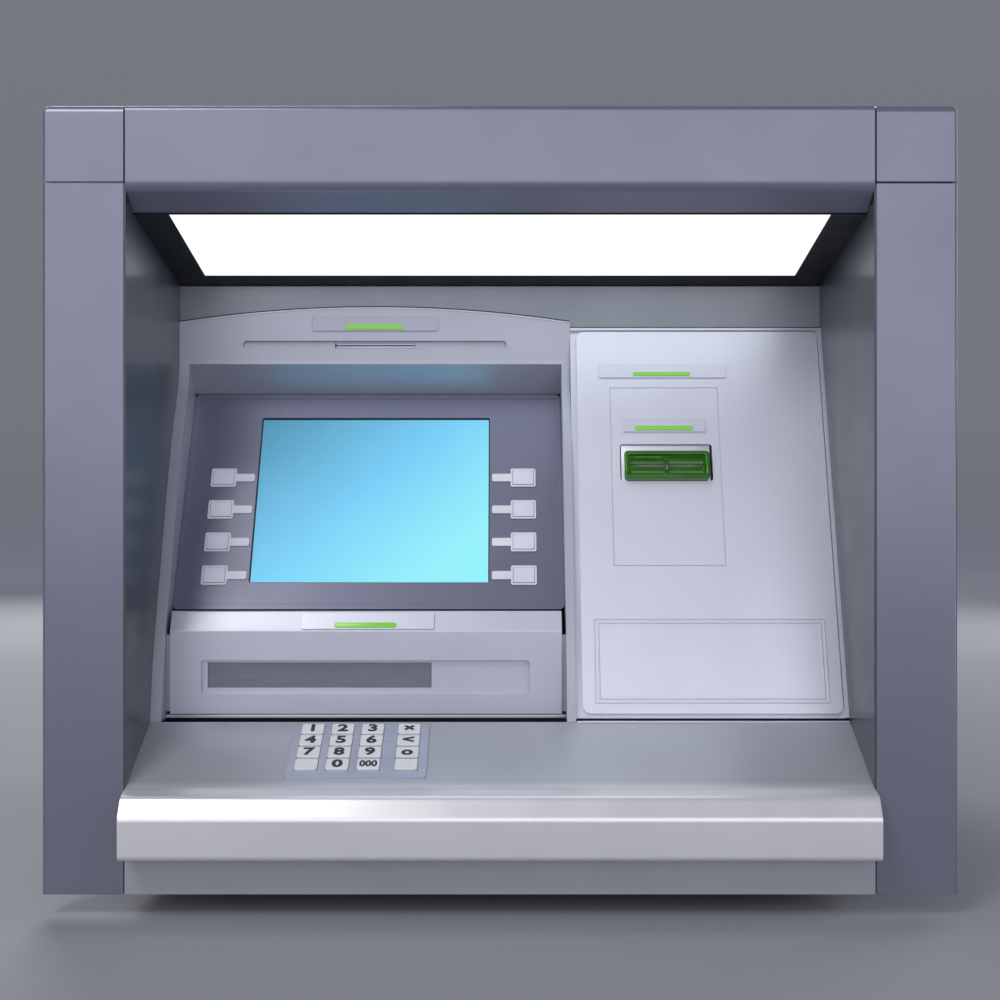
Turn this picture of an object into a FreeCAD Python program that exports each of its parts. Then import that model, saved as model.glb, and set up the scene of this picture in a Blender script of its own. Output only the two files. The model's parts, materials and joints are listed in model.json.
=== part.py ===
"""Through-the-wall cash machine: every piece as its own solid, in millimetres.

Working frame: X across (right as the customer sees it), Y into the wall from the surround's front
face, Z up from the underside of the feet. Pieces are shifted in Y as they are written, so that the
finished model stands on the middle of its own footprint.
"""
import FreeCAD, Part
import math
import os

from FreeCAD import Placement, Rotation, Vector

# ---------------------------------------------------------------- overall sizes
SURROUND_HEIGHT = 711.0
SURROUND_DEPTH = 18.0
COLUMN_WIDTH = 73.2
FOOT_HEIGHT = 20.0
NECK_DEPTH = 210.0
CABINET_DEPTH = 472.0
CABINET_SHOULDER = 21.0
VAULT_HEIGHT = 300.0

# ---------------------------------------------------------------- clearances
MOVING_GAP = 0.35
RUNNING_FIT = 0.08
PANEL_GAP = 4.0
SMALL = 1e-6
PAST = 1.0

# ---------------------------------------------------------------- surround
SURROUND_WALL = 3.0
CAP_HEIGHT = 69.3
CAP_GROOVE = 1.7
CAP_CORNER = 7.0
COLUMN_EDGE = 3.0
SILL_HEIGHT = 55.0
SILL_SIDE_GAP = 1.0
HEADER_PROUD = 4.0
HEADER_SIDE_GAP = 0.4
HEADER_TOP_DROP = 1.4
HEADER_HEIGHT = 73.7
HEADER_WALL = 3.0
CHEEK_THICK = 2.0
CHEEK_SETBACK = 0.5

# ---------------------------------------------------------------- bay light
LIGHT_SLOPE = 11.2
LIGHT_START_Y = 26.0
LIGHT_DROP_FROM_TOP = 93.6
LIGHT_BEHIND_FASCIA = 1.0
LIGHT_FRAME_THICK = 6.0
LIGHT_SIDE_STRIP = 33.0
LIGHT_BACK_STRIP = 29.4
DIFFUSER_FRONT = 1.2
TRAY_HEIGHT = 22.0
TRAY_WALL = 2.0
TRAY_LEDGE = 4.0
LIGHT_BAR_COUNT = 3
LIGHT_BAR_SIZE = 12.0

# ---------------------------------------------------------------- shelf and keypad
SHELF_SLOPE = 27.4
SHELF_FRONT_Z = 95.85
SHELF_BACK_MARGIN = 4.05
SHELF_THICK = 4.0
NOSE_PROUD = 29.0
NOSE_SHOULDER = (18.4, 4.1)
NOSE_FRONT_DROP = 22.1
NOSE_BOTTOM_DROP = 59.4
KEYPAD_FRONT = 12.7
KEYPAD_PROUD = 1.8
KEYPAD_FLANGE = 3.0
KEYPAD_BODY = 22.0
KEY_WIDTH = 21.0
KEY_DEPTH = 15.0
KEY_PROUD = 2.0
KEY_CAP = 5.0
KEY_CORNER = 1.5
KEY_EDGE = 0.7
KEY_WELL_ROOM = 1.0
KEY_TRAVEL = 2.5
KEY_ROW_GAP = 2.9
KEY_FRONT_MARGIN = 9.8
KEY_BACK_MARGIN = 3.3
KEY_COLUMN_GAP = 7.55
KEY_LAST_COLUMN_GAP = 13.7
KEY_LEFT_MARGIN = 7.7
KEY_RIGHT_MARGIN = 8.5
KEY_ROWS = 4
KEY_STEM_RADIUS = 2.5
KEY_STEM_LENGTH = 8.0
KEY_NAMES = (
    ("blank_left", "zero", "triple_zero", "blank_right"),
    ("seven", "eight", "nine", "enter"),
    ("four", "five", "six", "clear"),
    ("one", "two", "three", "cancel"),
)

# ---------------------------------------------------------------- fascia
CARD_SIDE_WIDTH = 263.5
DIVIDER_WIDTH = 9.0
LEFT_RAIL_WIDTH = 10.5
ARCH_END_RISE = 400.8
ARCH_RISE = 15.6
FASCIA_BEHIND_SHELF = 122.5
FASCIA_FLANGE = 3.0
FASCIA_BACK_THICK = 4.0
FASCIA_BACK_RISE = 395.8
SURROUND_BLOCK_DEPTH = 38.0
WINDOW_TOP_RISE = 356.3
RAIL_FRONT = ((360.8, 122.5), (323.4, 112.5), (298.7, 99.5), (154.1, 43.5), (85.8, 19.0), (0.0, -0.5))
RAIL_BEHIND_PANEL = 6.0
LEDGE_WIDTH = 10.0
LEDGE_THICK = 5.0

# ---------------------------------------------------------------- receipt slot
RECEIPT_WIDTH = 277.5
RECEIPT_HEIGHT = 9.0
RECEIPT_RISE = 376.5
RECEIPT_RECESS = 5.0
PAPER_WIDTH = 84.0
PAPER_GAP = 5.0
PRINTER_WIDTH = 196.0
PRINTER_DEPTH = 150.0
PRINTER_HEIGHT = 55.0
PRINTER_ABOVE_SLOT = 17.6
PAPER_WAY_DEPTH = 90.0
SPINDLE_ARM = 3.0
SPINDLE_ARM_HALF = 12.0
SPINDLE_BEHIND = 97.5
ROLL_LIFT = 5.0
ROLL_RADIUS = 40.0
ROLL_WIDTH = 80.0
SPINDLE_RADIUS = 6.0

# ---------------------------------------------------------------- display
DISPLAY_TILT = 26.0
DISPLAY_FOOT = (45.5, 105.2)
DISPLAY_SLANT = 246.2
DISPLAY_THICK = 3.0
SCREEN_WIDTH = 241.9
SCREEN_HEIGHT = 189.6
SCREEN_LOW = 28.5
GLASS_THICK = 3.0
GLASS_OVERLAP = 5.0
MONITOR_MARGIN = 11.0
MONITOR_DEPTH = 24.0
FUNCTION_KEY_FROM_SCREEN = 24.15
PANEL_SIDE_MARGIN = 25.0
FUNCTION_KEY_LOW = 36.2
FUNCTION_KEY_PITCH = 36.7
FUNCTION_KEY_WIDTH = 21.4
FUNCTION_KEY_HEIGHT = 16.4
FUNCTION_KEY_TRAVEL = 2.0
FUNCTION_KEY_BEHIND = 4.0
FUNCTION_RIM = 1.95
FUNCTION_FRAME_PROUD = 1.2
POINTER_LENGTH = 19.3
POINTER_HEIGHT = 8.8

# ---------------------------------------------------------------- cash panel
CASH_BEHIND_SHELF = 19.5
CASH_LOW_RISE = 4.8
CASH_BEND_RISE = 85.8
CASH_TOP = (29.0, 105.1)
CASH_RETURN = (41.5, 100.8)
CASH_THICK = 4.0
CASH_RECESS_WIDTH = 321.0
CASH_RECESS_RISE = 24.6
CASH_RECESS_HEIGHT = 32.4
CASH_RECESS_DEPTH = 6.0
CASH_FLOOR = 2.0
CASH_MOUTH_LEFT_MARGIN = 5.4
CASH_MOUTH_WIDTH = 219.7
CASH_MOUTH_RISE = 29.5
CASH_MOUTH_HEIGHT = 24.8
SHUTTER_OVERLAP = 3.0
SHUTTER_THICK = 2.0
SHUTTER_TRAVEL = 27.0
GUIDE_WIDTH = 5.0
GUIDE_LIP = 5.0
GUIDE_LIP_THICK = 2.0
NOZZLE_WALL = 3.0
NOZZLE_GAP = 1.0

# ---------------------------------------------------------------- card side
CARD_TILT = 17.1
CARD_FOOT = (3.5, 7.3)
CARD_SLANT = 401.0
CARD_THICK = 3.0
CARD_LEFT_GAP = 6.3
CARD_RIGHT_GAP = 5.0
CARD_CORNER = 8.0
TRAY_PLATE = 6.0
TRAY_RIM_HEIGHT = 1.0
TRAY_OVERHANG = 4.0
RIM_GAP = 1.0
CARD_CENTRE_FROM_LEFT = 89.9
CARD_HOLE_SIDE_GAP = 3.6
CARD_HOLE_ABOVE = 9.0
CARD_HOLE_BELOW = 0.5
CARD_BEZEL_SIZE = (86.8, 29.8)
CARD_BEZEL_LOW = 237.0
CARD_BEZEL_PROUD = 8.0
CARD_BEZEL_CORNER = 4.0
CARD_SLOT = (66.0, 8.0)
CARD_THROAT_MARGIN = 4.5
CARD_THROAT_DEPTH = 5.0
READER_SIDE_MARGIN = 8.6
READER_UP_MARGIN = 11.1
READER_DEPTH = 125.0
READER_SLOT_DEPTH = 90.0
GROOVE = 0.8
EMBOSS_LINE = 1.2
EMBOSS_HEIGHT = 0.7
ENGRAVED_SIZE = (112.0, 190.8)
ENGRAVED_LOW = 147.2
EMBOSS_LOW = 10.1
EMBOSS_SIDE = 12.4
EMBOSS_TALL = 83.7
EMBOSS_INSET = 3.9

# ---------------------------------------------------------------- indicators
PLATE_THICK = 1.5
LENS_THICK = 1.2

# ---------------------------------------------------------------- cabinet and vault
SHEET = 2.0
NECK_MARGIN_LOW = 8.0
NECK_MARGIN_TOP = 39.0
NECK_LAP = 1.0
REAR_FLANGE = 25.0
VAULT_WALL = 12.0
VAULT_LIP = 23.0
VAULT_LIP_LOW = 18.0
DOOR_GAP = 1.0
DOOR_SIDE_INSET = 2.0
REAR_DOOR_DEPTH = 18.0
LOUVRE_COUNT = 9
LOUVRE_SIZE = (180.0, 4.5)
LOUVRE_PITCH = 16.0
LOUVRE_FROM_TOP = 60.0
LOUVRE_FROM_MIDDLE = 149.0
VAULT_DOOR_INSET = 15.0
VAULT_DOOR_THICK = 22.0
VAULT_PLUG_DEPTH = 8.0
VAULT_PLUG_GAP = 5.0
HINGE_RADIUS = 7.0
HINGE_PIN = 4.0
HINGE_STANDOFF = 8.0
HINGE_KNUCKLE = 18.0
VAULT_HINGE_RADIUS = 10.0
VAULT_HINGE_PIN = 6.0
VAULT_HINGE_STANDOFF = 14.0
VAULT_HINGE_KNUCKLE = 26.0
LEAF_THICK = 3.0
LEAF_REACH = 30.0
BOLT_RADIUS = 9.0
BOLT_THROW = 22.0
BOLT_REST_GAP = 7.0
BOLT_SETBACK = 1.0
BOLT_GUIDE_SETBACK = 4.0
BOLT_GUIDE_WALL = 6.0
BOLT_GUIDE_FRONT = 5.0
BOLT_BEHIND_LIP = 3.0
BOLT_COUNT = 3
BOLT_END_MARGIN = 28.0
BOLT_GUIDE = 50.0
BOLT_BAR = 14.0
HANDLE_SHAFT = 8.0
HANDLE_HUB = 20.0
HANDLE_ARM = 110.0
HANDLE_REACH = 38.0
HANDLE_HUB_DEPTH = 20.0
HANDLE_KNOB = 10.0
HANDLE_INSET = 216.0
VAULT_DOOR_LOW_INSET = 6.0
LATCH_SHAFT = 9.0
LATCH_CAM = 30.0
LATCH_CAM_HALF = 7.0
LATCH_CAM_THICK = 3.0
LATCH_CAM_GAP = 2.0
LATCH_INSET = 13.0
LATCH_COLLAR = 5.0
LATCH_COLLAR_THICK = 4.0
LATCH_GRIP_HALF = 20.0
LATCH_GRIP_DEPTH = 12.0
FOOT_RADIUS = 24.0
FOOT_INSET = 32.0
ANCHOR_RADIUS = 7.0
ANCHOR_INSET_X = 35.0
ANCHOR_INSET_Y = 65.0
DISPENSER_MARGIN = 14.0
DISPENSER_FRONT_GAP = 2.0
DISPENSER_REAR_GAP = 60.0
PRESENTER_BELOW = 6.0
PRESENTER_ABOVE = 20.0
THROAT_DEPTH = 60.0
FRAME_THICK = 4.0
FRAME_SETBACK = 20.0
CASSETTE_SHELF = 3.0
CASSETTE_SIDE_GAP = 5.0
CASSETTE_TOP_GAP = 2.0
CASSETTE_FRONT_GAP = 4.0
CASSETTE_REAR_GAP = 52.0
CASSETTE_LIP = 8.0
CASSETTE_LIP_INSET = 60.0
PC_SIZE = (240.0, 220.0, 240.0)
PC_CLEARANCE = 40.0
GLAND_RADIUS = 14.0
GLAND_HOLE = 8.0
GLAND_LENGTH = 12.0
GLAND_HEIGHT = 60.0
GLAND_FROM_REAR = 141.6

# ---------------------------------------------------------------- places worked out from the sizes
KEYPAD_WIDTH = KEY_LEFT_MARGIN + 4 * KEY_WIDTH + 2 * KEY_COLUMN_GAP + KEY_LAST_COLUMN_GAP + KEY_RIGHT_MARGIN
KEYPAD_DEPTH = KEY_FRONT_MARGIN + KEY_ROWS * KEY_DEPTH + (KEY_ROWS - 1) * KEY_ROW_GAP + KEY_BACK_MARGIN
SHELF_SLANT = KEYPAD_FRONT + KEYPAD_DEPTH + SHELF_BACK_MARGIN
SHELF_DEPTH = SHELF_SLANT * math.cos(math.radians(SHELF_SLOPE))
SHELF_RISE = SHELF_SLANT * math.sin(math.radians(SHELF_SLOPE))
DISPLAY_SIDE = FUNCTION_KEY_FROM_SCREEN + FUNCTION_KEY_WIDTH + PANEL_SIDE_MARGIN
PANEL_SPACE = SCREEN_WIDTH + 2 * (DISPLAY_SIDE + PANEL_GAP)
MODULE_WIDTH = LEFT_RAIL_WIDTH + PANEL_SPACE + DIVIDER_WIDTH
BAY = (MODULE_WIDTH + CARD_SIDE_WIDTH) / 2
COLUMN_INNER = BAY + CHEEK_THICK
HALF_WIDTH = COLUMN_INNER + COLUMN_WIDTH
BASE = FOOT_HEIGHT
TOP = BASE + SURROUND_HEIGHT
FASCIA_FOOT_Z = BASE + SHELF_FRONT_Z + SHELF_RISE
FASCIA_FACE_Y = SHELF_DEPTH + FASCIA_BEHIND_SHELF
CASH_FACE_Y = SHELF_DEPTH + CASH_BEHIND_SHELF
LIGHT_DEPTH = (FASCIA_FACE_Y + LIGHT_BEHIND_FASCIA - LIGHT_START_Y) / math.cos(math.radians(LIGHT_SLOPE))
DIFFUSER_WIDTH = 2 * (BAY - LIGHT_SIDE_STRIP)
DIFFUSER_DEPTH = LIGHT_DEPTH - DIFFUSER_FRONT - LIGHT_BACK_STRIP
CABINET_FRONT = SURROUND_DEPTH + NECK_DEPTH
CABINET_REAR = CABINET_FRONT + CABINET_DEPTH
CABINET_HALF = COLUMN_INNER + CABINET_SHOULDER
VAULT_TOP = BASE + VAULT_HEIGHT
DIVIDER_RIGHT = BAY - CARD_SIDE_WIDTH
DIVIDER_LEFT = DIVIDER_RIGHT - DIVIDER_WIDTH
RAIL_INNER = -BAY + LEFT_RAIL_WIDTH
MODULE_CENTRE = (DIVIDER_RIGHT - BAY) / 2
DOOR_FACE = CABINET_REAR + DOOR_GAP
HANDLE_END = DOOR_FACE + VAULT_DOOR_THICK + HANDLE_REACH
ORIGIN_Y = (HANDLE_END - NOSE_PROUD) / 2


# ---------------------------------------------------------------- shape helpers
def box(x0, x1, y0, y1, z0, z1):
    """A box between two corners."""
    return Part.makeBox(x1 - x0, y1 - y0, z1 - z0, Vector(x0, y0, z0))


def cylinder(radius, start, direction, length):
    """A round bar from a start point along a direction."""
    return Part.makeCylinder(radius, length, Vector(*start), Vector(*direction))


def edges_along(shape, axis):
    """The straight edges of a shape that run along an axis."""
    found = []
    for edge in shape.Edges:
        run = edge.Vertexes[-1].Point.sub(edge.Vertexes[0].Point)
        if run.Length > SMALL and abs(abs(run.normalize().dot(axis)) - 1) < SMALL:
            found.append(edge)
    return found


def slab(x0, x1, y0, y1, z0, z1, radius=0.0):
    """A box with its four edges along Z rounded."""
    solid = box(x0, x1, y0, y1, z0, z1)
    limit = 0.49 * min(x1 - x0, y1 - y0)
    if radius > 0:
        solid = solid.makeFillet(min(radius, limit), edges_along(solid, Vector(0, 0, 1)))
    return solid


def path_edges(points, radii):
    """Straight runs through (y, z) points, with each inner corner rounded to its radius."""
    vectors = [Vector(0, y, z) for y, z in points]
    edges = []
    start = vectors[0]
    for index in range(1, len(vectors) - 1):
        corner = vectors[index]
        before = vectors[index - 1].sub(corner).normalize()
        after = vectors[index + 1].sub(corner).normalize()
        radius = radii[index]
        if radius <= 0:
            edges.append(Part.LineSegment(start, corner).toShape())
            start = corner
            continue
        half = before.getAngle(after) / 2
        reach = radius / math.tan(half)
        first = corner + before * reach
        last = corner + after * reach
        middle = corner + (before + after).normalize() * (radius / math.sin(half) - radius)
        edges.append(Part.LineSegment(start, first).toShape())
        edges.append(Part.Arc(first, middle, last).toShape())
        start = last
    edges.append(Part.LineSegment(start, vectors[-1]).toShape())
    return edges


def offset_points(points, distance):
    """The same open line moved to its left by a distance, with mitred corners."""
    moved = []
    for index in range(len(points)):
        normals = []
        for low in (index - 1, index):
            if 0 <= low < len(points) - 1:
                dy = points[low + 1][0] - points[low][0]
                dz = points[low + 1][1] - points[low][1]
                length = math.hypot(dy, dz)
                normals.append((-dz / length, dy / length))
        ny = sum(n[0] for n in normals)
        nz = sum(n[1] for n in normals)
        scale = distance * len(normals) / (ny * ny + nz * nz)
        if len(normals) == 1:
            scale = distance
        moved.append((points[index][0] + ny * scale, points[index][1] + nz * scale))
    return moved


def turns_left(points, index):
    """Whether an open line turns to its left at one of its inner points."""
    ay = points[index][0] - points[index - 1][0]
    az = points[index][1] - points[index - 1][1]
    by = points[index + 1][0] - points[index][0]
    bz = points[index + 1][1] - points[index][1]
    return ay * bz - az * by > 0


def sheet_strip(points, radii, thickness, x0, x1):
    """Sheet of one thickness, laid to the left of a (y, z) line and drawn out along X."""
    inner_radii = []
    for index, radius in enumerate(radii):
        if radius <= 0 or index in (0, len(radii) - 1):
            inner_radii.append(0.0)
        elif turns_left(points, index):
            inner_radii.append(max(radius - thickness, 0.0))
        else:
            inner_radii.append(radius + thickness)
    outer = path_edges(points, radii)
    inner = path_edges(offset_points(points, thickness), inner_radii)
    ends = []
    for outer_edge, inner_edge, end in ((outer[0], inner[0], 0), (outer[-1], inner[-1], -1)):
        a = outer_edge.Vertexes[end].Point
        b = inner_edge.Vertexes[end].Point
        ends.append(Part.LineSegment(a, b).toShape())
    loop = Part.Wire(Part.__sortEdges__(outer + inner + ends))
    face = Part.Face(loop)
    face.translate(Vector(x0, 0, 0))
    return face.extrude(Vector(x1 - x0, 0, 0))


def side_prism(points, x0, x1):
    """A solid whose side view is a closed polygon of (y, z) points."""
    corners = [Vector(x0, y, z) for y, z in points]
    corners.append(corners[0])
    return Part.Face(Part.makePolygon(corners)).extrude(Vector(x1 - x0, 0, 0))


class Slope:
    """A flat face that leans: local x runs across, y up the slope and z straight out of it."""

    def __init__(self, y, z, rise):
        self.placement = Placement(Vector(0, y, z), Rotation(Vector(1, 0, 0), rise))

    def seat(self, shape):
        """Put a shape drawn in local axes where the face is."""
        return shape.transformed(self.placement.toMatrix())

    def point(self, x, up, out):
        """Where a local point lies."""
        return self.placement.multVec(Vector(x, up, out))


LIGHT = Slope(LIGHT_START_Y, TOP - LIGHT_DROP_FROM_TOP, -LIGHT_SLOPE)
SHELF = Slope(0.0, BASE + SHELF_FRONT_Z, SHELF_SLOPE)
DISPLAY = Slope(SHELF_DEPTH + DISPLAY_FOOT[0], FASCIA_FOOT_Z + DISPLAY_FOOT[1], 90.0 - DISPLAY_TILT)
CARD = Slope(SHELF_DEPTH + CARD_FOOT[0], FASCIA_FOOT_Z + CARD_FOOT[1], 90.0 - CARD_TILT)


# ---------------------------------------------------------------- surround
def surround_columns():
    """Two hollow columns and their two corner caps, parted by a narrow groove."""
    solids = []
    cap_low = TOP - CAP_HEIGHT
    for side in (-1, 1):
        for low, high, is_cap in ((BASE, cap_low - CAP_GROOVE, False), (cap_low, TOP, True)):
            x0, x1 = sorted((side * COLUMN_INNER, side * HALF_WIDTH))
            shell = box(x0, x1, 0, SURROUND_DEPTH, low, high)
            front = [e for e in edges_along(shell, Vector(0, 0, 1))
                     if e.CenterOfMass.y < SMALL and abs(abs(e.CenterOfMass.x) - HALF_WIDTH) < SMALL]
            shell = shell.makeFillet(COLUMN_EDGE, front)
            if is_cap:
                corner = [e for e in edges_along(shell, Vector(0, 1, 0))
                          if e.CenterOfMass.z > high - SMALL and abs(e.CenterOfMass.x) > HALF_WIDTH - SMALL]
                shell = shell.makeFillet(CAP_CORNER, corner)
            pocket = box(x0 + SURROUND_WALL, x1 - SURROUND_WALL, SURROUND_WALL, SURROUND_DEPTH + 1,
                         low + SURROUND_WALL, high - SURROUND_WALL)
            neck_x0, neck_x1 = sorted((side * COLUMN_INNER, side * (COLUMN_INNER + SURROUND_WALL)))
            neck_end = box(neck_x0, neck_x1, SURROUND_DEPTH - NECK_LAP, SURROUND_DEPTH + PAST, low, high)
            solids.append(shell.cut([pocket, neck_end]))
    return solids


def header_cover():
    """The cover over the bay: a folded sheet that curls in under its lower edge."""
    top = TOP - HEADER_TOP_DROP
    low = top - HEADER_HEIGHT
    light_z = TOP - LIGHT_DROP_FROM_TOP
    run = LIGHT_START_Y + HEADER_PROUD
    drop = low - light_z
    end = run - HEADER_WALL * drop / math.hypot(run, drop) - MOVING_GAP
    line = [(end - HEADER_PROUD, low - drop * end / run), (-HEADER_PROUD, low), (-HEADER_PROUD, top),
            (SURROUND_DEPTH, top)]
    half = BAY - HEADER_SIDE_GAP
    return [sheet_strip(line[::-1], [0.0, 5.0, 12.0, 0.0], HEADER_WALL, -half, half)]


def sill_strip():
    """The low strip between the columns, a channel open at the back."""
    half = COLUMN_INNER - SILL_SIDE_GAP
    shell = box(-half, half, 0, SURROUND_DEPTH, BASE, BASE + SILL_HEIGHT)
    pocket = box(-half + SURROUND_WALL, half - SURROUND_WALL, SURROUND_WALL, SURROUND_DEPTH + 1,
                 BASE + SURROUND_WALL, BASE + SILL_HEIGHT - SURROUND_WALL)
    return [shell.cut(pocket)]


def side_cheeks():
    """The two plain side walls of the customer bay."""
    low = BASE + SILL_HEIGHT + SILL_SIDE_GAP
    high = TOP - CAP_HEIGHT - CAP_GROOVE
    solids = []
    for side in (-1, 1):
        x0, x1 = sorted((side * BAY, side * COLUMN_INNER))
        solids.append(box(x0, x1, CHEEK_SETBACK, CABINET_FRONT, low, high))
    return solids


# ---------------------------------------------------------------- bay light
def diffuser_box(margin, w0, w1):
    """The diffuser's outline, grown by a margin, between two heights over the light's face."""
    half = DIFFUSER_WIDTH / 2 + margin
    return box(-half, half, DIFFUSER_FRONT - margin, DIFFUSER_FRONT + DIFFUSER_DEPTH + margin, w0, w1)


def light_frame():
    """The dark frame that the diffuser sits in."""
    plate = box(-BAY, BAY, 0, LIGHT_DEPTH, 0, LIGHT_FRAME_THICK)
    return [LIGHT.seat(plate.cut(diffuser_box(MOVING_GAP, -1, LIGHT_FRAME_THICK + 1)))]


def light_diffuser():
    """The luminous panel."""
    return [LIGHT.seat(diffuser_box(0, 0, LIGHT_FRAME_THICK))]


def light_tray():
    """The tray over the diffuser, with its light bars on the tray's roof."""
    low = LIGHT_FRAME_THICK
    high = low + TRAY_HEIGHT
    tray = diffuser_box(TRAY_LEDGE, low, high).cut(diffuser_box(-TRAY_LEDGE, low - 1, high - TRAY_WALL))
    solids = [tray]
    half = DIFFUSER_WIDTH / 2 - 4 * TRAY_LEDGE
    step = DIFFUSER_DEPTH / (LIGHT_BAR_COUNT + 1)
    for index in range(LIGHT_BAR_COUNT):
        centre = DIFFUSER_FRONT + step * (index + 1)
        solids.append(box(-half, half, centre - LIGHT_BAR_SIZE / 2, centre + LIGHT_BAR_SIZE / 2,
                          high - TRAY_WALL - LIGHT_BAR_SIZE / 2, high - TRAY_WALL))
    return [LIGHT.seat(solid) for solid in solids]


# ---------------------------------------------------------------- shelf and keypad
def keypad_left():
    """The keypad plate's left edge."""
    return MODULE_CENTRE - KEYPAD_WIDTH / 2


def keypad_slab(inset, w0, w1, radius):
    """The keypad's outline, drawn in by an inset, between two heights over the shelf."""
    left = keypad_left()
    return slab(left + inset, left + KEYPAD_WIDTH - inset, KEYPAD_FRONT + inset,
                KEYPAD_FRONT + KEYPAD_DEPTH - inset, w0, w1, radius)


def shelf():
    """The sloped shelf with its rolled nose, and the hole that the keypad drops into."""
    z = BASE + SHELF_FRONT_Z
    line = [(0.0, z - NOSE_BOTTOM_DROP), (-NOSE_PROUD, z - NOSE_BOTTOM_DROP),
            (-NOSE_PROUD, z - NOSE_FRONT_DROP), (-NOSE_SHOULDER[0], z - NOSE_SHOULDER[1]), (0.0, z),
            (SHELF_DEPTH, FASCIA_FOOT_Z)]
    strip = sheet_strip(line[::-1], [0.0, 8.0, 9.0, 9.0, 5.0, 0.0], SHELF_THICK, -BAY, BAY)
    hole = keypad_slab(KEYPAD_FLANGE, -2 * SHELF_THICK, 2 * SHELF_THICK, KEYPAD_FLANGE)
    return [strip.cut(SHELF.seat(hole))]


def keypad_positions():
    """Name and centre of each keypad key, from the row nearest the customer."""
    first = keypad_left() + KEY_LEFT_MARGIN + KEY_WIDTH / 2
    step = KEY_WIDTH + KEY_COLUMN_GAP
    columns = [first, first + step, first + 2 * step]
    columns.append(columns[-1] + KEY_WIDTH + KEY_LAST_COLUMN_GAP)
    found = []
    for row, names in enumerate(KEY_NAMES):
        up = KEYPAD_FRONT + KEY_FRONT_MARGIN + KEY_DEPTH / 2 + row * (KEY_DEPTH + KEY_ROW_GAP)
        found.extend((name, x, up) for name, x in zip(names, columns))
    return found


def keypad_module():
    """The keypad's plate and body, with a well and a stem hole for each key."""
    body = keypad_slab(0, 0, KEYPAD_PROUD, 3.0)
    body = body.fuse(keypad_slab(KEYPAD_FLANGE + MOVING_GAP, -KEYPAD_BODY, 0, 2.0))
    well_floor = KEYPAD_PROUD + KEY_PROUD - KEY_CAP - KEY_TRAVEL - KEY_WELL_ROOM
    cuts = []
    for _, x, up in keypad_positions():
        half_x = KEY_WIDTH / 2 + MOVING_GAP
        half_y = KEY_DEPTH / 2 + MOVING_GAP
        cuts.append(box(x - half_x, x + half_x, up - half_y, up + half_y, well_floor, KEYPAD_PROUD + 1))
        cuts.append(cylinder(KEY_STEM_RADIUS + RUNNING_FIT, (x, up, well_floor + 1), (0, 0, -1),
                             KEY_STEM_LENGTH + 4))
    return [SHELF.seat(body.cut(cuts).removeSplitter())]


def keypad_key(x, up):
    """One key: a cap with soft edges on a guided stem."""
    top = KEYPAD_PROUD + KEY_PROUD
    half_x = KEY_WIDTH / 2
    half_y = KEY_DEPTH / 2
    cap = slab(x - half_x, x + half_x, up - half_y, up + half_y, top - KEY_CAP, top, KEY_CORNER)
    rim = [e for e in cap.Edges if abs(e.BoundBox.ZMin - top) < SMALL and abs(e.BoundBox.ZMax - top) < SMALL]
    cap = cap.makeFillet(KEY_EDGE, rim)
    stem = cylinder(KEY_STEM_RADIUS, (x, up, top - KEY_CAP), (0, 0, -1), KEY_STEM_LENGTH)
    return [SHELF.seat(cap.fuse(stem))]


# ---------------------------------------------------------------- fascia, left side
def fascia_back():
    """The upright strip between the arch and the ceiling light."""
    rise = math.radians(LIGHT_SLOPE)
    high = LIGHT.point(0, LIGHT_DEPTH, 0).z - FASCIA_FLANGE * math.tan(rise)
    y0 = FASCIA_FACE_Y + FASCIA_FLANGE
    return [box(-BAY, BAY, y0, y0 + FASCIA_BACK_THICK, FASCIA_FOOT_Z + FASCIA_BACK_RISE, high)]


def display_back_line():
    """The rear outline of the screen surround's side walls, following the panels they carry."""
    depth = DISPLAY_THICK + RAIL_BEHIND_PANEL
    top = DISPLAY.point(0, DISPLAY_SLANT, -depth)
    foot = DISPLAY.point(0, 0, -depth)
    return [(top.y, top.z), (foot.y, foot.z),
            (CASH_FACE_Y + CASH_THICK + RAIL_BEHIND_PANEL, FASCIA_FOOT_Z + CASH_BEND_RISE),
            (CASH_FACE_Y + CASH_THICK + RAIL_BEHIND_PANEL, FASCIA_FOOT_Z + RAIL_FRONT[-1][0])]


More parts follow.
